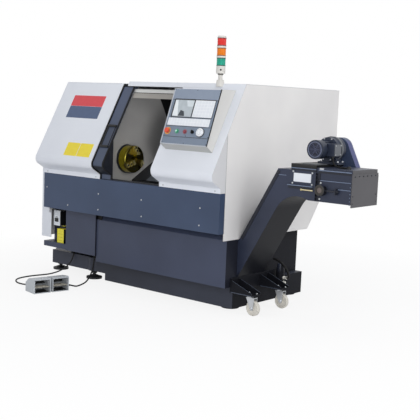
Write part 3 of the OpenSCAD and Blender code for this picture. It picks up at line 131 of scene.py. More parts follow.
world = bpy.data.worlds.new("studio")
scene.world = world
world.use_nodes = True
tree = world.node_tree
tree.nodes.clear()
room = node(tree, "Background", {"Color": linear("#E8EBF0"), "Strength": 0.5})
white = node(tree, "Background", {"Color": (1, 1, 1, 1), "Strength": 1.0})
mixed = node(tree, "MixShader", {0: seen_rays(tree), 1: room.outputs[0], 2: white.outputs[0]})
node(tree, "OutputWorld", {"Surface": mixed.outputs[0]})

for name, spot, aim, size, power in (
    ("key_light", (-1.8, -5.4, 4.0), (0.0, 0.0, 0.9), 3.0, 58),
    ("front_light", (4.7, -5.2, 2.2), (0.3, 0.0, 1.0), 3.2, 152),
    ("side_light", (4.8, 0.5, 4.0), (1.0, 0.3, 1.0), 3.0, 78),
    ("top_light", (0.2, 0.4, 5.6), (0.2, 0.2, 0.0), 4.0, 36),
    ("work_light", (0.16, -0.20, 1.16), (-0.70, -0.02, 1.0), 0.25, 3.2),
):
    lamp = bpy.data.lights.new(name, "AREA")
    lamp.shape = "DISK"
    lamp.size = size
    lamp.energy = power
    light = bpy.data.objects.new(name, lamp)
    light.location = spot
    light.visible_camera = False
    light.rotation_euler = (Vector(aim) - Vector(spot)).to_track_quat("-Z", "Y").to_euler()
    scene.collection.objects.link(light)


# Base: a ribbed iron casting under dark enamel, standing on six levelling pads of oxidised iron.
# Two cable glands of black nylon are screwed into its front wall, beside two black plates that paint the
# shade of recesses in it.
def facing(tree, axis, start, full):
    """How far a face looks along an axis: 0 where its normal's part on it is at start, 1 at full."""
    normal = node(tree, "SeparateXYZ", {0: node(tree, "NewGeometry").outputs["Normal"]})
    return node(tree, "MapRange", {0: normal.outputs[axis], 1: start, 2: full}).outputs[0]


# A face turns to its second tone between these two parts of its normal.
looks_down, looks_right = ("Z", -0.15, -0.45), ("X", 0.5, 0.8)


def coat(name, colour, shade, roughness, under=None, end=None, floor_tone=None):
    """Baked paint: drifts from colour to shade, patchy gloss, an orange peel and rounded edges.
    Faces that look down or to the right can take a tone of their own with less shine, which paints
    shade or highlight on them; anything near the floor can take a darker tone."""
    # The orange peel is too fine to show, so it is drawn 12 mm coarse; a drift is about 550 mm wide.
    drift_width, peel_width, edge_radius, gloss_swing = 0.55, 0.012, 0.003, 0.05
    full_shine, dull_shine, fade_top_level, fade_floor_level = 0.3, 0.06, 0.31, 0.24
    paint, tree, surface = material(name)
    place = node(tree, "TexCoord").outputs["Object"]
    drift = node(tree, "TexNoise", {"Vector": place, "Scale": 1 / drift_width, "Detail": 3.0}).outputs[0]
    spread = node(tree, "MapRange", {0: drift, 1: 0.3, 2: 0.7}).outputs[0]
    tone = node(tree, "Mix", {0: spread, 6: linear(shade), 7: linear(colour)}, data_type="RGBA").outputs[2]
    level = node(tree, "SeparateXYZ", {0: place}).outputs["Z"]
    # The floor tone comes in below 0.31 m and is full at 0.24 m, so it is darker towards the floor.
    low = node(tree, "MapRange", {0: level, 1: fade_top_level, 2: fade_floor_level}).outputs[0]
    shine = full_shine
    # Tones given for faces that look down or to the right paint shade or highlight on them.
    for dark, share in ((under, facing(tree, *looks_down)), (end, facing(tree, *looks_right)), (floor_tone, low)):
        if dark:
            tone = node(tree, "Mix", {0: share, 6: tone, 7: linear(dark)}, data_type="RGBA").outputs[2]
            shine = node(tree, "Mix", {0: share, 2: shine, 3: dull_shine}).outputs[0]
    peel = node(tree, "TexNoise", {"Vector": place, "Scale": 1 / peel_width, "Detail": 2.0}).outputs[0]
    edge = node(tree, "Bevel", {"Radius": edge_radius}, samples=4).outputs[0]
    bump = node(tree, "Bump", {"Height": peel, "Strength": 0.05, "Distance": 0.002, "Normal": edge})
    gloss = node(tree, "MapRange", {
        0: drift, 3: roughness - gloss_swing, 4: roughness + gloss_swing}).outputs[0]
    skin = node(tree, "BsdfPrincipled", {
        "Base Color": tone, "Roughness": gloss, "Normal": bump.outputs[0], "IOR": 1.5,
        "Specular IOR Level": shine})
    tree.links.new(skin.outputs[0], surface)
    return paint


def dress(paint, *names):
    """Gives the named solids one material in all their slots."""
    for name in names:
        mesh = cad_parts[name].data
        mesh.materials.clear()
        mesh.materials.append(paint)


def moulded(name, colour, shade, roughness, shine=0.5):
    """A moulded plastic or rubber: faint flow marks about 30 mm wide and some gloss."""
    flow_width = 0.03
    plastic, tree, surface = material(name)
    place = node(tree, "TexCoord").outputs["Object"]
    flow = node(tree, "TexNoise", {"Vector": place, "Scale": 1 / flow_width, "Detail": 2.0}).outputs[0]
    tone = node(tree, "Mix", {0: flow, 6: linear(shade), 7: linear(colour)}, data_type="RGBA").outputs[2]
    bump = node(tree, "Bump", {"Height": flow, "Strength": 0.02, "Distance": 0.002})
    skin = node(tree, "BsdfPrincipled", {
        "Base Color": tone, "Roughness": roughness, "IOR": 1.49, "Specular IOR Level": shine,
        "Normal": bump.outputs[0]})
    tree.links.new(skin.outputs[0], surface)
    return plastic


low, high = (np.array(corner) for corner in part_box("belt_panel"))
zero = np.array([(low[0] + high[0]) / 2, low[1], 0])
RIGHT, BACK, UP = np.eye(3)


def at(*mm):
    """A place measured in mm from the middle of the belt panel's front, on the floor, in metres."""
    return zero + np.array(mm, float) / 1000


def slab(width, height, corner, steps):
    """Rings of a rounded rectangle about its middle; each step is an inset of the outline and a height."""
    corner_points = 5
    quarter = np.repeat(np.arange(4), corner_points)
    angle = (quarter + np.tile(np.linspace(0, 1, corner_points), 4)) * np.pi / 2
    side_x, side_y = np.where(quarter % 3 == 0, 1, -1), np.where(quarter < 2, 1, -1)
    inset, rise = np.array(steps, float).T[:, :, None]
    arc = np.maximum(corner - inset, 0.01)
    x = side_x * (width / 2 - inset - arc) + arc * np.cos(angle)
    y = side_y * (height / 2 - inset - arc) + arc * np.sin(angle)
    return np.stack([x, y, rise + 0 * x], -1)


def turned(steps, sides=32):
    """Rings of a circle about its axis; each step is a radius and a height along the axis."""
    angle = np.arange(sides) * 2 * np.pi / sides
    radius, rise = np.array(steps, float).T[:, :, None]
    return np.stack([radius * np.cos(angle), radius * np.sin(angle), rise + 0 * angle], -1)


def set_on(rings, place, w, u=None):
    """Stands rings in mm on a place: their height runs along w and their first axis along u."""
    w = np.array(w, float) / np.linalg.norm(w)
    u = np.cross(UP if abs(w[2]) < 0.9 else BACK, w) if u is None else np.array(u, float)
    u = u / np.linalg.norm(u)
    return place + rings @ np.array([u, np.cross(w, u), w]) / 1000


def plate(place, w, u, width, height, thick, corner=1.0, edge=0.4):
    """A thin plate with rounded corners and a small top chamfer, lying on a place."""
    return set_on(slab(width, height, corner, [(0, -1), (0, thick - edge), (edge, thick)]), place, w, u)


def front_plate(x, y, z, width, height, thick, corner=1.0):
    """A plate about a place in mm, on a wall that looks to the front."""
    return plate(at(x, y, z), -BACK, RIGHT, width, height, thick, corner)


def piece(name, grids, paint, body="machine"):
    """One mesh from grids of rings: quads between neighbour rings, caps on open ends, and a finish."""
    points, faces, start = [], [], 0
    for grid in grids:
        closed = np.allclose(grid[0], grid[-1])
        grid = grid[:-1] if closed else grid
        index = start + np.arange(grid.shape[0] * grid.shape[1]).reshape(grid.shape[:2])
        above = np.roll(index, -1, axis=0)
        quads = np.stack([index, np.roll(index, -1, 1), np.roll(above, -1, 1), above], -1)
        faces += quads[:len(index) if closed else -1].reshape(-1, 4).tolist()
        faces += [] if closed else [index[0, ::-1].tolist(), index[-1].tolist()]
        points.append(grid.reshape(-1, 3))
        start += index.size
    mesh = bpy.data.meshes.new(name)
    mesh.from_pydata(np.vstack(points).tolist(), [], faces)
    mesh.shade_smooth()
    mesh.set_sharp_from_angle(angle=math.radians(40))
    mesh.materials.append(paint)
    made = bpy.data.objects.new(name, mesh)
    scene.collection.objects.link(made)
    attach(made, body)
    return made


# Dark enamel hides the cast surface; the pads show dull black oxide.
# Faces of the base that look down or to the right are painted near black as shade.
dress(coat("base_enamel", "#343845", "#2A2D38", 0.5, "#1B1C20", "#1D1E23"), "base_casting")
dress(coat("pad_oxide", "#232427", "#17181A", 0.55), "leveling_feet")
# Black nylon: an even black with a soft sheen.
black_nylon = moulded("black_nylon", "#17181A", "#101112", 0.45, shine=0.3)
base_front = 260
piece("base_cable_glands", [
    set_on(turned([(19, -1), (19, 5), (18, 6)], 6), at(x, base_front, z), -BACK)
    for x, z in ((-535, 300), (-800, 230))
], black_nylon)
piece("base_recess_shade_plates", [
    front_plate(-642, base_front, 134, 98, 84, 2, 3), front_plate(-518, base_front, 102, 70, 84, 2, 3),
], black_nylon)


# Headstock: a grey-painted iron casting with the spindle in ground bearings, driven by a ribbed belt
# from a finned motor behind it. The turned steel keeps a fine lay that spreads its highlights.
def bare_steel(name, colour, shade, roughness, end=None):
    """Bare metal: streaks along X, about 4 mm apart, change the tone and the gloss a little.
    Faces that look to the right can take a tone of their own, which paints shade or highlight on them."""
    streak_pitch, streak_drift, edge_radius = 0.004, 0.125, 0.002
    metal, tree, surface = material(name)
    place = node(tree, "TexCoord").outputs["Object"]
    stretch = node(tree, "Mapping", {
        "Vector": place, "Scale": (1 / streak_pitch, 1 / streak_drift, 1 / streak_drift)}).outputs[0]
    streak = node(tree, "TexNoise", {"Vector": stretch, "Scale": 1.0, "Detail": 3.0}).outputs[0]
    tone = node(tree, "Mix", {0: streak, 6: linear(shade), 7: linear(colour)}, data_type="RGBA").outputs[2]
    if end:
        share = facing(tree, *looks_right)
        tone = node(tree, "Mix", {0: share, 6: tone, 7: linear(end)}, data_type="RGBA").outputs[2]
    gloss = node(tree, "MapRange", {0: streak, 3: roughness - 0.06, 4: roughness + 0.08}).outputs[0]
    edge = node(tree, "Bevel", {"Radius": edge_radius}, samples=4).outputs[0]
    face = node(tree, "BsdfPrincipled", {
        "Base Color": tone, "Metallic": 1.0, "Roughness": gloss, "Normal": edge})
    tree.links.new(face.outputs[0], surface)
    return metal


# Iron enamel: a flat mid grey; motor enamel: a satin blue-grey.
iron_enamel = coat("iron_enamel", "#6A6F76", "#5B6067", 0.5)
motor_enamel = coat("motor_enamel", "#2E3546", "#242A38", 0.38)
# Ground steel: bright, with soft streaks; rubber: dull black.
ground_steel = bare_steel("ground_steel", "#C4C6C9", "#A6A9AD", 0.32)
dress(iron_enamel, "headstock")
dress(motor_enamel, "spindle_motor")
dress(ground_steel, "spindle_bearings", "spindle", "motor_pulley")
dress(moulded("belt_rubber", "#232325", "#171719", 0.65), "drive_belt")


# Chuck: a hollow turned steel body with three stepped hard jaws in its slots, under an oil film that
# yellows it. Socket screws hold the jaws and, between them, the body; two black bands edge its rim.
def socket_screw(place, w, radius, tall):
    """A round head with a sunk hole in its top, turned about its axis."""
    return set_on(turned([
        (radius, -1), (radius, 0.8 * tall), (0.9 * radius, tall), (0.55 * radius, tall),
        (0.5 * radius, 0.3 * tall)], 16), place, w)


def hoop(outer, inner, low, high, sides=32):
    """Rings of a hoop about its axis: up its outer wall, over its top and down its inner wall, closed."""
    return turned([(outer, low), (outer, high), (inner, high), (inner, low), (outer, low)], sides)


# Oiled steel: olive gold with a broad bright highlight; the screws stay black.
# The chuck's face, looking right, is painted darker as shade; the jaws' right faces are painted paler as
# highlight.
dress(bare_steel("oiled_chuck_steel", "#DCCB34", "#86791F", 0.28, "#5A522A"), "chuck_body")
dress(bare_steel("oiled_jaw_steel", "#D8C878", "#A3965A", 0.34, "#EADB96"),
      "chuck_jaw_1", "chuck_jaw_2", "chuck_jaw_3")
black_oxide = moulded("black_oxide_screw", "#26272A", "#1B1C1E", 0.4, shine=0.3)
chuck_face, axis_y, axis_z, chuck_radius = -307, 420, 1050, 115


def on_chuck(x, reach, turn):
    """A place at x, at a reach from the spindle's axis and at a turn in degrees from straight down."""
    return at(x, axis_y + reach * math.sin(math.radians(turn)), axis_z - reach * math.cos(math.radians(turn)))


for number, turn in enumerate((180, 60, 300), 1):
    piece(f"jaw_screws_{number}", [
        socket_screw(on_chuck(chuck_face + step, reach, turn), RIGHT, 8, 4)
        for step, reach in ((30, 74), (14, 97))
    ], black_oxide, f"jaw_{number}")
piece("chuck_face_screws", [
    socket_screw(on_chuck(chuck_face, 82, turn), RIGHT, 7, 3) for turn in (0, 120, 240)
], black_oxide, "spindle")
piece("chuck_bands", [
    set_on(hoop(chuck_radius + 0.6, chuck_radius - 1, 0, wide, 64), at(x, axis_y, axis_z), RIGHT)
    for x, wide in ((-391.5, 9), (-316, 5))
], black_oxide, "spindle")


# Carriage: iron saddle and cross slide with a ground octagonal turret disc and ball screw, behind a
# folded way cover. Coolant and dust leave the paint dull.
dress(coat("way_cover_enamel", "#26282D", "#1D1F23", 0.42), "way_cover")
dress(iron_enamel, "saddle", "cross_slide")
dress(ground_steel, "turret_disc", "z_ballscrew")


# Chip tank, splash wall and lower left panel: folded steel sheet, welded and painted, hung on the base.
# The niche at the left holds a moulded lubricator with its dark sight window and a yellow oil bottle.
def smooth(points, steps):
    """A curve through the points: each span blends its four neighbours by the cardinal cubic."""
    p = np.array(points, float)
    ends = np.vstack([2 * p[0] - p[1], p, 2 * p[-1] - p[-2]])
    t = np.linspace(0, 1, steps, endpoint=False)[None, :, None]
    a, b, c, d = (ends[i:len(p) - 1 + i, None, :] for i in range(4))
    bend, twist = 2 * a - 5 * b + 4 * c - d, 3 * b - a - 3 * c + d
    spans = 0.5 * (2 * b + (c - a) * t + bend * t ** 2 + twist * t ** 3)
    return np.vstack([spans.reshape(-1, 3), p[-1:]])


def hose(line, radius, sides=12):
    """Rings of a circle square to a line of points; the radius may change along it."""
    ahead = np.gradient(line, axis=0)
    ahead /= np.linalg.norm(ahead, axis=1, keepdims=True)
    # The upright leans a little, so that a line straight up has a side too.
    side = np.cross(ahead, UP + 0.01 * RIGHT)
    side /= np.linalg.norm(side, axis=1, keepdims=True)
    angle = (np.arange(sides) * 2 * np.pi / sides)[None, :, None]
    spoke = np.cos(angle) * side[:, None] + np.sin(angle) * np.cross(ahead, side)[:, None]
    return line[:, None] + np.broadcast_to(radius, len(line))[:, None, None] / 1000 * spoke


def cut_sheet(outline, x0, x1):
    """Rings of a flat outline in Y and Z, in mm, at two places along X."""
    return np.stack([zero + np.insert(np.array(outline, float), 0, x, 1) / 1000 for x in (x0, x1)])


# Slate powder coat: a satin blue-grey; the wall's enamel is duller and warmer.
# Faces of the tank and panel that look down or to the right are painted near black as shade.
dress(coat("slate_powder_coat", "#3F465B", "#363C4F", 0.40, "#24262D", "#24262F"),
      "chip_tank", "lower_left_panel")
dress(coat("wall_enamel", "#A3A19E", "#8E8D8C", 0.5), "splash_wall")
# White and yellow mouldings: even clean colours with a soft gloss.
dress(moulded("white_moulding", "#E4E7EB", "#D8DCE1", 0.4), "lubricator")
dress(moulded("yellow_bottle_plastic", "#EADF38", "#DCCE2C", 0.35), "oil_bottle")
# Edge rubber: dull black, for the blocks that paint the shade in the gaps at the lip's ends, and for the flap
# at the wall's rear corner.
edge_rubber = moulded("edge_rubber", "#141416", "#0C0C0D", 0.6, shine=0.2)
piece("lip_end_shade_blocks", [
    set_on(slab(width, 24, 2, [(0, 0), (0, 52)]), at(x, 118, 546), UP, RIGHT)
    for x, width in ((-386, 56), (952, 40))
], edge_rubber)
piece("wall_flap", [cut_sheet([(779, 1638), (1090, 1102), (1090, 1638)], -400.5, -398.8)], edge_rubber)
low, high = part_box("lubricator")
front = np.array([(low[0] + high[0]) / 2, low[1], low[2]])
piece("lubricator_window", [
    plate(front + (0, 0, 0.050), -BACK, RIGHT, 46, 34, 2, 4),
    plate(front + (0, 0, 0.075), -BACK, RIGHT, 30, 5, 2, 2),
    set_on(turned([(17, -1), (17, 14), (15, 16)], 24), front + (0, 0.055, high[2] - low[2]), UP)],
    black_nylon)
bottle_low, bottle_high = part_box("oil_bottle")
bottle = np.array([(bottle_low[0] + bottle_high[0]) / 2, bottle_low[1], bottle_low[2]])
# Black sheets at the right sides of the lubricator and of the bottle paint the niche's shade there; a thin
# black strip stands at the bottle's left, and a holder with a union nut keeps the bottle upright.
piece("niche_shade_sheets", [
    plate(at(-877, 164, 499), RIGHT, BACK, 122, 130, 1.5),
    plate(at(-829, 152, 346), RIGHT, BACK, 94, 121, 2),
    front_plate(-918, 105, 346, 6, 121, 2),
    set_on(hoop(28, 25.2, -10, 10, 24), at(-875, 152.5, 420), UP)],
    black_nylon)
# Level marks: thin darker lines moulded into the yellow front.
piece("bottle_marks", [
    plate(bottle + (0, 0, level), -BACK, RIGHT, 64, 3, 0.8, 1, 0.2) for level in (0.022, 0.050, 0.078)
], moulded("bottle_line_ink", "#B9A91E", "#A8991A", 0.4))
# Oil tube: milky nylon, a pale grey with a smooth shine.
piece("oil_tube", [hose(smooth([
    front + (0.02, 0.06, 0.140), front + (0.05, 0.06, 0.175), front + (0.08, 0.07, 0.16),
    front + (0.1, 0.1, 0.10), front + (0.11, 0.11, 0.03), front + (0.115, 0.115, -0.06)], 6), 4)],
    moulded("milky_nylon_tube", "#D8DCDD", "#C9CECF", 0.3))


# Belt panel: a long navy sheet over the front, on eight pan-head screws of bright zinc.
# The two strips under the covers carry the same screws.
def stud(place, w, radius, tall, sides=6):
    """A bolt or screw head with a chamfered top: a circle of few sides along its axis."""
    return set_on(turned([(radius, -1), (radius, 0.75 * tall), (0.8 * radius, tall)], sides), place, w)


# Navy powder coat: an even dark blue with a satin shine.
dress(coat("navy_powder_coat", "#3E4C66", "#36435B", 0.36), "belt_panel")
# Zinc plate: pale metal with a soft shine.
zinc = bare_steel("zinc_plate", "#C8CBCF", "#A9ACB0", 0.36)
piece("panel_screws", [
    stud(at(x, 0, z), -BACK, 6, 3, 12) for x, z in (
        (-936, 777), (-296, 777), (190, 777), (790, 777), (-666, 647), (-296, 647), (195, 647), (787, 647),
        (413, 915), (926, 916), (-930, 915), (-330, 915))
], zinc)


# Front covers: white powder-coated sheet rolled to a nose over the belt panel. The left one carries a
# bare two-colour name plate and two plain yellow fields of printed film.
slope = math.radians(28.5)
OUT = np.array([0, -math.cos(slope), math.sin(slope)])
slope_top_y, slope_top_z = 257, 1700


def slope_y(z):
    """How far back the covers' leaning face lies at a height, in mm."""
    return slope_top_y - (slope_top_z - z) * math.tan(slope)


def slope_plate(x, z, width, height, thick, corner=1.0, edge=0.4, lift=0.0):
    """A plate about x and z on the covers' leaning face, raised by lift, all in mm."""
    return plate(at(x, slope_y(z), z) + OUT * lift / 1000, OUT, RIGHT, width, height, thick, corner, edge)


# White powder coat: a clean cool white with a satin shine.
# Faces that look to the right are painted a greyer tone as shade.
white_coat = coat("white_powder_coat", "#E2E5EB", "#DBDEE5", 0.42, end="#CDCDCF")
dress(white_coat, "left_front_cover", "right_front_cover", "left_end_cover")
# Printed film: flat bright colours with a slight gloss.
for name, colour, shade, x, z, width, tall in (
    ("name_plate_red", "#D9434B", "#CC3A43", -618, 1526, 385, 101),
    ("name_plate_navy", "#465A7C", "#3E5070", -618, 1431, 385, 112),
    ("yellow_field_left", "#EDD938", "#E2CC2C", -567, 1127, 152, 120),
    ("yellow_field_right", "#EDD938", "#E2CC2C", -410, 1127, 152, 120),
):
    piece(name, [slope_plate(x, z, width, tall, 0.8, 4, 0.3)],
          moulded("printed_film_" + name, colour, shade, 0.35))


# Door: a navy sheet slide on rails, with a leading stile, rubber edge strips and a sunk handle between
# two black bars. Its window is laminated safety glass.
def front_line(inset, z_high, z_low):
    """The covers' side line at an inset: down the slope, round the nose, back under it and down."""
    nose_y, nose_z, nose_radius, under_rise = -45.8, 1027, 55, 0.5914
    angle = np.radians(np.linspace(151.5, 239.4, 12))
    nose = np.array([nose_y, nose_z]) + (nose_radius - inset) * np.stack([np.cos(angle), np.sin(angle)], -1)
    top = [slope_y(z_high) + inset / math.cos(slope), z_high]
    back = [inset, nose[-1, 1] - (inset - nose[-1, 0]) * under_rise]
    return np.vstack([top, nose, back, [inset, z_low]])


def strip(line, x0, x1, low, high):
    """Rings of a rectangle from x0 to x1, square to a side line and from low to high off it."""
    ahead = np.gradient(line, axis=0)
    ahead /= np.linalg.norm(ahead, axis=1, keepdims=True)
    out = np.stack([ahead[:, 1], -ahead[:, 0]], -1)
    low_line, high_line = line + low * out, line + high * out
    corners = [(x0, low_line), (x1, low_line), (x1, high_line), (x0, high_line)]
    return np.stack([zero + np.insert(side, 0, x, 1) / 1000 for x, side in corners], 1)


# Door coat: a deep slate blue; the rails' enamel is pale.
# Door faces that look down are painted near black as shade.
dress(coat("door_powder_coat", "#4B546A", "#414A5D", 0.36, "#1F222A"), "door_panel")
dress(coat("rail_enamel", "#DDDDDA", "#C6C6C3", 0.4), "door_rails")
door_inset, rail_inset = 10, 24
door_line = front_line(door_inset, 1655, 905)
piece("door_edge_strips", [
    strip(door_line, -283, -273, -0.5, 5), strip(door_line, -168, -150.5, -0.5, 4)
], edge_rubber, "door")
# The door's cut end and the cup behind its handle are painted darker than its face, as shade.
end_outline = np.vstack([front_line(door_inset + 0.5, 1228, 906), [door_inset + 2.5, 906]])
piece("door_end_cap", [cut_sheet(end_outline, -152, -150.5)],
      coat("door_end_painted_shade", "#20222A", "#191B21", 0.5), "door")
piece("door_handle", [
    slope_plate(-223, 1338, 96, 19, 12, 4, 2, -door_inset),
    slope_plate(-223, 1174, 96, 19, 12, 4, 2, -door_inset),
    slope_plate(-263, 1256, 12, 178, 6, 2, 1, -door_inset),
    slope_plate(-183, 1256, 6, 178, 4, 1, 0.5, -door_inset),
], black_nylon, "door")
piece("door_handle_cup", [slope_plate(-222, 1256, 70, 170, 1.0, 2, 0.3, -door_inset)],
      coat("handle_cup_painted_shade", "#3E475A", "#353D4F", 0.4), "door")
# The upper rail has a dull cream band below a dark joint; a dark strip covers the lower rail.
piece("upper_rail_band", [slope_plate(110, 1598, 520, 46, 1.2, lift=-rail_inset)],
      coat("cream_enamel", "#A29E98", "#8F8B85", 0.45))
piece("rail_joint", [slope_plate(110, 1621, 520, 4, 1.4, lift=-rail_inset)], edge_rubber)
piece("low_rail_cover", [set_on(slab(1340, 17, 0.5, [(0, -11.8), (0, 0.6)]), at(-300, 24, 912), UP, RIGHT)],
      coat("dark_rail_coat", "#2C2E34", "#222429", 0.4))
# Safety glass: nearly clear, a little green.
safety_glass, tree, surface = material("safety_glass")
pane = node(tree, "BsdfPrincipled", {
    "Base Color": linear("#DCE8E6"), "Roughness": 0.04, "IOR": 1.52, "Transmission Weight": 0.92})
tree.links.new(pane.outputs[0], surface)
dress(safety_glass, "door_window")


# Side, rear and roof: grey and white sheet screwed to the frame. The rear has a hinged cabinet door
# with pressed louvres beside it and a quarter-turn lock.
rear_y, side_x = 1565, 975
# Grey powder coat: a warm pale grey, duller than the covers' white.
grey_coat = coat("grey_powder_coat", "#E6E4E2", "#DCDAD9", 0.45)
dress(grey_coat, "right_side_panel", "rear_panel", "cabinet_door")
dress(white_coat, "roof_cover")
# Pressed louvres: shallow hoods in two rows, in the panel's own paint.
piece("rear_louvres", [
    plate(at(x, rear_y, z), BACK, -RIGHT, 190, 16, 7, 5, 5) for x in (590, 820) for z in range(1240, 1580, 34)
], grey_coat)
piece("rear_screws", [
    stud(at(x, rear_y, z), BACK, 6, 3, 12) for x in range(-900, 901, 300) for z in (1075, 1640)
    if not -340 < x < 460 or z > 1600
], zinc)
# Joint sealant: a thin grey line where the cover meets the side panel.
piece("cover_joint", [plate(at(side_x, 60, 968), RIGHT, BACK, 3, 728, 0.6, 1, 0.2)],
      moulded("joint_sealant", "#8F8E8D", "#838281", 0.6))


# Control panel: a white sheet housing with a slate fascia, a screen, keys, push buttons, a selector
# and a dial. The keys are membrane film, glued on; the small screws hold the fascia.
lean = math.radians(20)
FACE = np.array([0, -math.cos(lean), math.sin(lean)])
RISE = np.array([0, math.sin(lean), math.cos(lean)])
fascia_corner, fascia_thick, key_lift, button_v = at(445.5, -81.17, 1235.66), 3.0, 4.2, 103


def on_panel(u, v, lift=fascia_thick):
    """A place on the fascia: u to the right and v up from its lower left corner, raised by lift, in mm."""
    return fascia_corner + (RIGHT * u + RISE * v + FACE * lift) / 1000


def panel_plate(u, v, width, height, thick, corner=1.0, edge=0.4, lift=fascia_thick):
    """A plate about u and v on the fascia, raised by lift, all in mm."""
    return plate(on_panel(u, v, lift), FACE, RIGHT, width, height, thick, corner, edge)


def panel_frame(u, v, width, height, tall, side, foot):
    """A raised frame about u and v on the fascia: up its outer wall, over the top and down inside, closed."""
    corner, steps = 5, [(0, -1), (0, tall), (side, tall), (foot, -1), (0, -1)]
    return set_on(slab(width, height, corner, steps), on_panel(u, v), FACE, RIGHT)


def panel_ring(u, outer, inner, tall):
    """A flat collar round a button in the fascia's row of buttons."""
    return set_on(hoop(outer, inner, -1, tall), on_panel(u, button_v), FACE)


def keys(u0, u1, v0, v1, columns, rows):
    """Plates of a field of keys with gaps of a seventh of their pitch."""
    wide, tall = (u1 - u0) / columns, (v1 - v0) / rows
    return [panel_plate(u0 + wide * (i + 0.5), v0 + tall * (j + 0.5), wide * 6 / 7, tall * 6 / 7, 1.0, 2, 0.5,
                        key_lift) for i in range(columns) for j in range(rows)]


# Housing coat: the covers' white, with painted shade: grey on its underside and cream on its right side.
dress(coat("housing_powder_coat", "#E2E5EB", "#DBDEE5", 0.42, "#B4B5B3", "#CFCECB"), "control_housing")
# Fascia film: a matt blue-grey, paler on the header; display glass: grey with a clear shine; keys: white
# and pale grey film; bezel and joints: a film that is nearly black.
dress(moulded("fascia_film", "#758294", "#6C798A", 0.45), "panel_fascia")
dress(moulded("display_glass", "#C3CBD0", "#A9B2B8", 0.12), "screen")
key_film = moulded("white_key_film", "#EFF1F4", "#E7EAEE", 0.35)
dark_film = moulded("dark_bezel_film", "#2A3038", "#21262D", 0.3)
middle_u, middle_v, field_v, strip_v = 227.5, 221, 285, 178
screen_u, field_u = 133, 331
piece("panel_header", [panel_plate(middle_u, 396, 440, 80, 1.0, 3)],
      moulded("header_film", "#8793A5", "#7F8B9D", 0.4))
piece("screen_bezel", [panel_frame(screen_u, field_v, 204, 148, 2.5, 7, 8)], dark_film)
# Painted reflections on the display glass: white, grey and dark patches.
for name, colour, shade, outline in (
    ("screen_glare_white", "#EEF2F4", "#E4E9EC", [(42, 226), (96, 222), (64, 348), (42, 348)]),
    ("screen_glare_pale", "#D9E0E4", "#CDD5DA", [(170, 300), (224, 300), (224, 348), (150, 348)]),
    ("screen_glare_dark", "#3A4149", "#2F353C", [(96, 224), (160, 224), (146, 262), (112, 270)]),
):
    piece(name, [np.stack([[on_panel(u, v, lift) for u, v in outline] for lift in (1.0, 2.8)])],
          moulded("painted_reflection_" + name, colour, shade, 0.15))
piece("fascia_joints", [panel_plate(middle_u, v, 446, 3.5, 0.6, 1, 0.2) for v in (61, 353, 144)]
      + [panel_frame(field_u, field_v, 198, 146, 1.6, 4, 4)], dark_film)
piece("key_fields", [
    panel_plate(field_u, field_v, 188, 132, 1.2, 4), panel_plate(220, strip_v, 404, 58, 1.2, 4),
], key_film)
piece("keys", keys(241, 421, 224, 346, 6, 5) + keys(22, 418, 151, 205, 14, 2),
      moulded("pale_key_film", "#E6E9EE", "#DDE1E7", 0.4))
# Trim enamel: a pale grey line along the fascia's left and lower edges; a black strip along the right edge
# paints the shadow gap there.
piece("panel_trim", [panel_plate(4, middle_v, 8, 440, 4), panel_plate(middle_u, 3, 440, 6, 3)],
      coat("trim_enamel", "#C3C7CE", "#B8BCC4", 0.4))
piece("panel_edge_shade_strip", [panel_plate(452, middle_v, 6, 440, 4)], edge_rubber)
piece("panel_screws_small", [
    stud(on_panel(u, v), FACE, 3.2, 1.6, 12) for u in (14, 227, 440) for v in (14, 70, 430)
], black_oxide)
# Buttons: clear bright mouldings, with collars of their own colours.
start_u, dial_u, dial_top, mark_reach = 134, 360, 21, 19.5
dress(moulded("orange_red_moulding", "#E4522F", "#D84626", 0.3), "estop_button")
dress(moulded("maroon_moulding", "#8E3643", "#7E2E3A", 0.3), "stop_button")
dress(moulded("green_moulding", "#2E9C74", "#268A66", 0.3), "start_button")
dress(black_nylon, "mode_selector")
dress(key_film, "handwheel")
for name, u, outer, inner, tall, finish, colour, shade, slot in (
    ("estop_collar", 41, 28, 20.5, 1.5, "amber_collar", "#E8A33A", "#DD9730", "yellow_plastic"),
    ("start_collar", start_u, 18, 13, 4, "green_collar", "#5FA98C", "#559C80", "green_plastic"),
    ("stop_collar", 212, 18, 13, 4, "rose_collar", "#9A6470", "#8C5964", "red_plastic"),
):
    piece(name, [panel_ring(u, outer, inner, tall)], moulded(finish, colour, shade, 0.35))
piece("start_button_lens", [
    set_on(turned([(8, -0.5), (8, 0.6), (7, 1)]), on_panel(start_u, button_v, 16), FACE)],
    moulded("pale_green_lens", "#BFE4D4", "#AEDAC7", 0.2), "start")
piece("dial_collar", [panel_ring(dial_u, 36, 32.5, 4)], dark_film)
piece("dial_marks", [
    set_on(slab(1.6, 7, 0.5, [(0, -0.5), (0, 0.5)]),
           on_panel(dial_u + mark_reach * math.sin(turn), button_v + mark_reach * math.cos(turn), dial_top),
           FACE, RIGHT * math.cos(turn) - RISE * math.sin(turn))
    for turn in np.radians(np.arange(1, 12) * 30 + 90)
], black_oxide, "handwheel")


# Signal tower: three coloured lenses between grey rings on a moulded pole, seated on the roof's edge.
# The lenses have seven level ribs each, with darker bands painted at their tops and bottoms as shade;
# below them are a buzzer's port and a rubber seal round the neck.
tower_x, tower_y, drum_z = 730, 251, 1773
rib_count, rib_depth, shade_band_tall, seal_tall = 7, 0.7, 7, 9
# Grey moulding: a warm pale grey with a soft gloss.
dress(moulded("tower_grey_moulding", "#D9D6D0", "#CBC8C2", 0.4), "tower_pole")
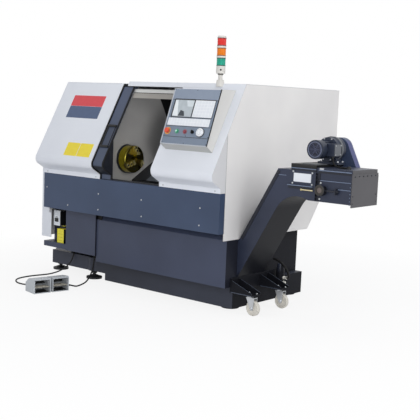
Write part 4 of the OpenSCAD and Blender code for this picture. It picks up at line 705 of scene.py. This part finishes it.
# Lens plastic: clear strong colours, brighter on the ribs; the painted shade bands are deep tones of them.
for name, colour, shade, dark, deep in (
    ("red", "#E63A33", "#CC2622", "#6E1C1E", "#58161A"),
    ("amber", "#F2860C", "#D86F04", "#8E5218", "#754213"),
    ("green", "#1FA88C", "#0F8D76", "#0F564B", "#0B463D"),
):
    low, high = (np.array(corner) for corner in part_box("tower_" + name))
    middle = (low + high)[:2] / 2
    level = np.linspace(0, high[2] - low[2], 8 * rib_count + 1) * 1000
    wave = np.cos(level / level[-1] * 2 * rib_count * np.pi)
    radius = (high[0] - low[0]) * 500 - rib_depth - rib_depth * wave
    lens = piece(name + "_lens_ribbed", [
        set_on(turned(np.stack([radius, level], -1), 48), np.append(middle, low[2]), UP)],
        moulded(name + "_lens_plastic", colour, shade, 0.2, shine=0.3))
    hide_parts("tower_" + name)
    piece(name + "_lens_shade_bands", [
        set_on(hoop(34.4, 32, 0, shade_band_tall, 48), np.append(middle, band_base), UP)
        for band_base in (low[2], high[2] - shade_band_tall / 1000)],
        moulded(name + "_lens_shade_plastic", dark, deep, 0.35))
# Seal rubber: a dull warm grey.
piece("tower_seal", [set_on(hoop(21.6, 16, 0, seal_tall), at(tower_x, tower_y, drum_z - seal_tall), UP)],
      moulded("grey_seal_rubber", "#595751", "#494742", 0.55))
piece("tower_buzzer", [
    set_on(turned([(7, -1), (7, 1), (5, 1.6)], 16),
           at(tower_x + 22, tower_y - 27, drum_z + 27), (0.63, -0.77, 0)),
], black_nylon)


# Conveyor: a welded sheet trough that climbs from the tank to a head with a black lid. Bolted flanges
# join its sections; a bearing block with a take-up screw holds the drive shaft.
trough_front, lid_front, cap_front, chute_face = 240, 234, 206, 1923
drive_x, drive_z, head_mid, lid_mid = 1684, 983, 1780, 1528.5
climb = np.array([0.5, 0, math.sqrt(0.75)])
# Conveyor coat: a dark satin slate, painted nearly black as shade where it looks down or to the right, and
# darker towards the floor; the flanges' coat is duller, the lid's is black. The belt's steel is grey and the
# shaft's end browned by oil.
dress(coat("conveyor_powder_coat", "#31374A", "#292E3D", 0.40, "#1B1C20", "#1A1B20", "#1B1C21"),
      "conveyor_trough")
dark_coat = coat("dark_flange_coat", "#262933", "#1E2029", 0.45)
dress(bare_steel("belt_plate_steel", "#85888B", "#6E7174", 0.45), "conveyor_belt")
dress(bare_steel("oiled_shaft_steel", "#7A7270", "#5A5250", 0.4), "conveyor_shaft")
piece("incline_flange", [plate(at(1162, trough_front, 823), -BACK, climb, 620, 26, 4)], dark_coat)
piece("incline_bolts", [
    stud(at(1162, trough_front - 4, 823) + climb * step, -BACK, 6, 4) for step in np.linspace(-0.28, 0.28, 8)
], dark_coat)
# The lid's faces that look to the right are painted a touch darker as shade.
piece("head_lid_cover", [
    set_on(slab(215, 352, 6, [(0, -23), (0, -2), (2, 2)]), at(lid_mid, 407, 1150), UP, RIGHT)],
    coat("black_lid_coat", "#0E0F12", "#09090B", 0.4, end="#0B0B0D"))
# Bright bolts hold the plates of the head, and a bright clip keeps the lid shut.
piece("head_bolts_bright", [
    stud(at(x, trough_front, z), -BACK, 7, 5, 12) for x, z in (
        (1440, 1096), (1600, 1094), (1437, 1012), (1600, 1012), (1672, 1032), (1668, 920))
] + [front_plate(1674, trough_front, 1129, 34, 12, 3, 2)], zinc)
piece("head_bolts_dark", [stud(at(1640, 230, z), RIGHT, 5.5, 5) for z in range(930, 1090, 30)]
      + [socket_screw(at(drive_x + 21 * i, cap_front, drive_z + 21 * j), -BACK, 6, 5)
         for i, j in ((1, 1), (-1, 1), (1, -1), (-1, -1))], dark_coat)
# Cast cap: a brown-grey rough iron ring.
piece("bearing_cap", [set_on(turned([(38, -1), (38, 5), (35, 7), (22, 7), (20, 4), (20, -1), (38, -1)]),
                             at(drive_x, cap_front, drive_z), -BACK)],
      coat("cast_cap_enamel", "#3A3835", "#2E2C2A", 0.5))
# Plate enamel: a bare cool white.
piece("blank_plate", [front_plate(1517, trough_front, 1055, 146, 62, 1.5, 3)],
      coat("blank_plate_enamel", "#E6E9EE", "#DADDE3", 0.4))
piece("head_ledge", [
    front_plate(1507, trough_front, 986, 208, 24, 4),
    plate(at(1804, 224, drive_z), RIGHT, BACK, 30, 44, 6),
    front_plate(1655, trough_front, 1062, 22, 76, 4),
    front_plate(1655, trough_front, 922, 22, 36, 4),
    front_plate(head_mid, trough_front, 1107, 262, 16, 1.2),
    front_plate(lid_mid, lid_front, 1112, 209, 11, 0.8)], dark_coat)
# Pale lines are painted on the head's sharp folds and the lid's edge as highlights.
fold_highlight = coat("fold_highlight_coat", "#77849C", "#6A768D", 0.35)
piece("head_folds", [
    plate(at(1507, 230, 997), UP, RIGHT, 208, 22, 4),
    front_plate(head_mid, trough_front, 1049, 262, 5, 4),
    front_plate(1852, trough_front, 998, 112, 5, 4),
    front_plate(head_mid, trough_front, 1119, 262, 7, 3),
    front_plate(1345, trough_front, 1062, 70, 4, 2),
    front_plate(lid_mid, lid_front, 1121, 209, 5, 2)], fold_highlight)
# The flange bolts take the same pale paint, as painted highlights.
piece("head_flange_bolts", [stud(at(1907, trough_front, z), -BACK, 4, 3) for z in range(900, 1040, 24)],
      fold_highlight)
# Brass: a warm yellow metal for the adjusting screw.
piece("adjusting_screw", [
    hose(np.array([at(x, 231, 972) for x in (1521, 1540, 1615)]), 5), stud(at(1521, 231, 972), -RIGHT, 9, 8)],
    bare_steel("brass", "#DDD2AE", "#C3B78E", 0.35))
piece("take_up_screw", [
    hose(np.array([at(x, 224, drive_z) for x in (1722, 1760, 1826)]), 6),
    stud(at(1810, 224, drive_z), RIGHT, 11, 8)], dark_coat)
piece("chute_bolts", [stud(at(chute_face, y, 1094), RIGHT, 5, 4) for y in range(270, 560, 56)]
      + [stud(at(chute_face, y, z), RIGHT, 4, 3) for y in (250, 570) for z in (910, 960)],
      dark_coat)


# Gearmotor and chain guard: a cast finned motor with a pressed fan cowl on a gear case, bolted over the
# lid; a painted sheet guard covers the chain, and a grey plate with a strip above it closes the head.
gear_x, gear_z, grille_y, cowl_front = 1594, 1258, 267, 262
dress(motor_enamel, "conveyor_gearmotor")
# Guard coat: a mid blue, with a paler painted highlight on its right edge; chute enamel: a flat warm grey.
dress(coat("guard_powder_coat", "#48546F", "#3C4760", 0.34, end="#5C6084"), "chain_guard")
chute_enamel = coat("chute_enamel", "#555457", "#4B4A4D", 0.5)
dress(chute_enamel, "chute_plate")
piece("chute_top_strip", [plate(at(1919, 410, 1124), RIGHT, BACK, 340, 24, 2)], chute_enamel)
# Grille enamel: a violet grey on five wire hoops and three bars.
piece("fan_grille", [
    set_on(hoop(radius + 1.6, radius - 1.6, 0, 3), at(gear_x, grille_y, gear_z), -BACK)
    for radius in (12, 22, 32, 42, 51)
] + [
    plate(at(gear_x, grille_y, gear_z), -BACK, (math.cos(turn), 0, math.sin(turn)), 104, 4, 2)
    for turn in np.radians([0, 60, 120])
], coat("grille_enamel", "#565A74", "#4A4E66", 0.4))
# The cowl's rolled mouth is painted paler as a highlight, and a black nylon fan shows behind the grille.
piece("cowl_rim", [set_on(turned([(56, -1), (56, 1.5), (54, 3), (50, 3), (49, 1), (49, -1), (56, -1)], 48),
                          at(gear_x, cowl_front, gear_z), -BACK)],
      coat("cowl_rim_highlight_enamel", "#6E748B", "#61677E", 0.35))
piece("motor_fan", [
    set_on(turned([(51, -0.5), (51, 1), (14, 1.2), (12, 2.4)], 32), at(gear_x, grille_y + 3, gear_z), -BACK)],
    black_nylon)
# Grey casting: the gear case's joint ring, the terminal box's lid and the seat plate are left lighter.
box_face, box_y = 1706, 381
piece("gear_case_castings", [
    set_on(hoop(92, 86.2, -9, 9, 48), at(gear_x, 488, gear_z), -BACK),
    plate(at(box_face, box_y, gear_z), RIGHT, BACK, 82, 80, 5, 6, 1),
    plate(at(1566, 320, 1152), UP, RIGHT, 130, 120, 5, 3)],
    coat("grey_casting_enamel", "#6C6F74", "#5C5F64", 0.45))
piece("motor_bolts", [
    stud(at(gear_x + 79 * math.cos(turn), 429, gear_z + 79 * math.sin(turn)), -BACK, 6, 5)
    for turn in np.radians(np.arange(8) * 45 + 22.5)
] + [
    stud(at(box_face + 5, box_y + 33 * i, gear_z + 32 * j), RIGHT, 5, 3) for i in (-1, 1) for j in (-1, 1)
] + [
    stud(at(gear_x + 74 * i, y, 1168), UP, 8, 7) for i in (-1, 1) for y in (452, 518)
], zinc)
piece("motor_lead", [hose(smooth([
    at(1690, 350, 1216), at(1692, 348, 1196), at(1698, 344, 1176), at(1710, 340, 1160), at(1728, 336, 1149),
    at(1750, 332, 1144), at(1780, 328, 1142), at(1810, 326, 1142), at(1835, 325, 1143)], 6), 6.5)],
    edge_rubber)
piece("motor_lead_glands", [
    set_on(turned([(12, -2), (12, 6), (9, 8), (7.5, 22)], 12), at(1690, 350, 1214), -UP),
    set_on(turned([(14, -6), (14, 12), (9, 18)], 12), at(1840, 325, 1138), UP),
], black_nylon)


# Coolant pump: a cast pump bolted on the conveyor's foot, with two pale moulded fittings screwed into
# its side and a black rubber hose that climbs from the upper one.
pump_face, pump_y = 1062, 735
# Fitting plastic: a creamy white with a soft gloss.
piece("pump_fittings", [
    set_on(turned([(13, -4), (13, 9), (10, 10)] + spout, 16), at(pump_face, pump_y, z), RIGHT)
    for z, spout in ((204, [(10, 26), (12, 27), (12, 36)]), (165, [(10, 22)]))
], moulded("pale_fitting_plastic", "#ECEAE3", "#D9D6CC", 0.4))
piece("pump_hoses", [hose(smooth([
    at(1094, pump_y, 204), at(1112, 733, 208), at(1120, 726, 232), at(1106, 716, 272), at(1076, 706, 312),
    at(1036, 698, 338), at(990, 694, 350)], 6), 9)], edge_rubber)


# Casters: pressed zinc forks on ball races under the foot's trays, with pale nylon wheels.
# Hex nuts close the axles and four bolts hold each tray, whose folded rims carry a painted highlight.
caster_x, axle_z, fork_half, wheel_half = 1168, 58, 23, 17
dress(zinc, "caster_fork_1", "caster_fork_2")
# Wheel nylon: a milky beige; rim highlight: a painted highlight, a little lighter than the trays' black.
dress(moulded("wheel_nylon", "#DCD8CF", "#CBC7BD", 0.45), "caster_wheel_1", "caster_wheel_2")
rim_highlight = coat("tray_rim_highlight_coat", "#464D5B", "#3A404D", 0.4)
for number, y in ((1, 205), (2, 575)):
    piece(f"axle_nuts_{number}", [
        stud(at(caster_x, y + fork_half * side, axle_z), side * BACK, 10, 6) for side in (-1, 1)
    ], zinc, f"fork_{number}")
    piece(f"wheel_caps_{number}", [
        set_on(turned([(15, -1), (15, 0.8), (8, 1.2)], 24),
               at(caster_x, y + wheel_half * side, axle_z), side * BACK) for side in (-1, 1)
    ], black_nylon, f"wheel_{number}")
    piece(f"tray_bolts_{number}", [
        stud(at(1138 + 34 * i, y + 34 * j, 160), UP, 7, 6) for i in (-1, 1) for j in (-1, 1)
    ], zinc)
    piece(f"tray_rims_{number}", [
        plate(at(1096, y + side * 52, 208.5), (0.362, 0, 0.932), (0.932, 0, -0.362), 198, 5.6, 1.2)
        for side in (-1, 1)
    ] + [front_plate(1092, y - 55, 157, 194, 6, 1)], rim_highlight)


# Foot switch: two cast hoods under light grey enamel, each with a ribbed sprung treadle on a pin.
# Black moulded linings close the back and the floor of the hoods, with the switch's round knob.
# Pedal enamel: a pale cool grey with a soft shine.
dress(coat("pedal_enamel", "#C3C7CB", "#B0B4B8", 0.42), "pedal_housing")
# Treadle enamel: a worn beige, lighter than the dark inside of the hoods.
treadle_enamel = coat("treadle_enamel", "#BDB8AB", "#A29D91", 0.45)
dress(treadle_enamel, "pedal_1", "pedal_2")
heading, tilt, hood_pitch = math.radians(-12), 0.085, 162
row_count, row_pitch, row_rise = 7, 11.8, 0.0851
fore = np.array([math.cos(heading), math.sin(heading), 0])
along = np.array([-math.sin(heading), math.cos(heading), 0])
tread = UP * math.cos(tilt) - fore * math.sin(tilt)


def in_hood(number, ahead, rise):
    """A place in a hood: ahead of the foot switch's middle along its heading, and above the floor, in mm."""
    return at(-381, -402, rise) + (along * (number - 1.5) * hood_pitch + fore * ahead) / 1000


for number in (1, 2):
    piece(f"treadle_ribs_{number}", [
        plate(in_hood(number, step - 94, 43.2 + row_rise * step), tread, along, 116, 5, 2.5)
        for step in np.arange(row_count) * row_pitch], treadle_enamel, f"treadle_{number}")
    piece(f"hood_lining_{number}", [
        plate(in_hood(number, -94, 83), fore, along, 130, 46, 1.0),
        plate(in_hood(number, -62, 6.5), UP, fore, 120, 130, 1.0),
        set_on(turned([(11, 0), (11, 9), (8, 12)], 24), in_hood(number, -93, 84), fore),
    ], black_nylon)


# Foot switch cables: two black rubber-sheathed leads, each 12 mm thick, from the glands in the base down
# to the floor and into the pedal hoods, with a tapered boot of about 40 mm at each end.
def tube(name, line, diameter):
    """A round cord: a curve of one open spline along the line, with its ends filled."""
    curve = bpy.data.curves.new(name, "CURVE")
    curve.dimensions = "3D"
    curve.bevel_depth = diameter / 2
    curve.bevel_resolution = 4
    curve.use_fill_caps = True
    spline = curve.splines.new("POLY")
    spline.points.add(len(line) - 1)
    spline.points.foreach_set("co", np.hstack([line, np.ones((len(line), 1))]).ravel())
    made = bpy.data.objects.new(name, curve)
    scene.collection.objects.link(made)
    return made


# Rubber sheath: matt black with a dull sheen, greyed in patches by dust.
rubber_sheath = moulded("rubber_cable_sheath", "#1C1C1E", "#0E0E10", 0.62, shine=0.25)
cable_diameter, boot_length, boot_radius, boot_taper = 0.012, 0.042, 11, 90
for name, route in (
    ("pedal_cord_1", [
        (-535, 259.5, 300), (-535, 246, 300), (-535, 228, 294), (-535, 214, 282), (-535, 205, 264),
        (-534, 201, 240), (-533, 197, 205), (-530, 188, 155), (-524, 171, 104), (-514, 143, 62),
        (-498, 103, 30), (-478, 58, 12), (-454, 10, 6.6), (-430, -40, 6.6), (-410, -90, 7),
        (-396, -132, 10.5), (-394, -168, 20), (-398, -196, 28), (-403.4, -218.9, 30), (-407.6, -238.5, 30)]),
    ("pedal_cord_2", [
        (-800, 259.5, 230), (-800, 249, 230), (-801, 231, 224.5), (-802, 216, 213), (-804, 206, 195),
        (-807, 200, 170), (-814, 190, 134), (-828, 172, 97), (-852, 142, 60), (-884, 96, 30),
        (-918, 36, 12), (-946, -30, 6.6), (-962, -100, 6.6), (-968, -170, 6.6), (-962, -240, 6.6),
        (-942, -298, 6.6), (-906, -344, 6.6), (-856, -380, 7), (-800, -404, 9), (-742, -422, 14),
        (-690, -432, 19), (-640, -437, 24), (-600, -440, 28), (-564.5, -445.8, 30), (-544.9, -449.9, 30)]),
):
    line = smooth(zero + np.array(route) / 1000, 8)
    cable = tube(name + "_sheath", line, cable_diameter)
    cable.data.materials.append(rubber_sheath)
    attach(cable, "machine")
    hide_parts(name)
    run = np.concatenate([[0], np.cumsum(np.linalg.norm(np.diff(line, axis=0), axis=1))])
    boots = []
    for way in (run, run[-1] - run):
        near = np.flatnonzero(way < boot_length)
        boots.append(hose(line[near], boot_radius - boot_taper * way[near], 20))
    piece(name + "_boots", boots, edge_rubber)
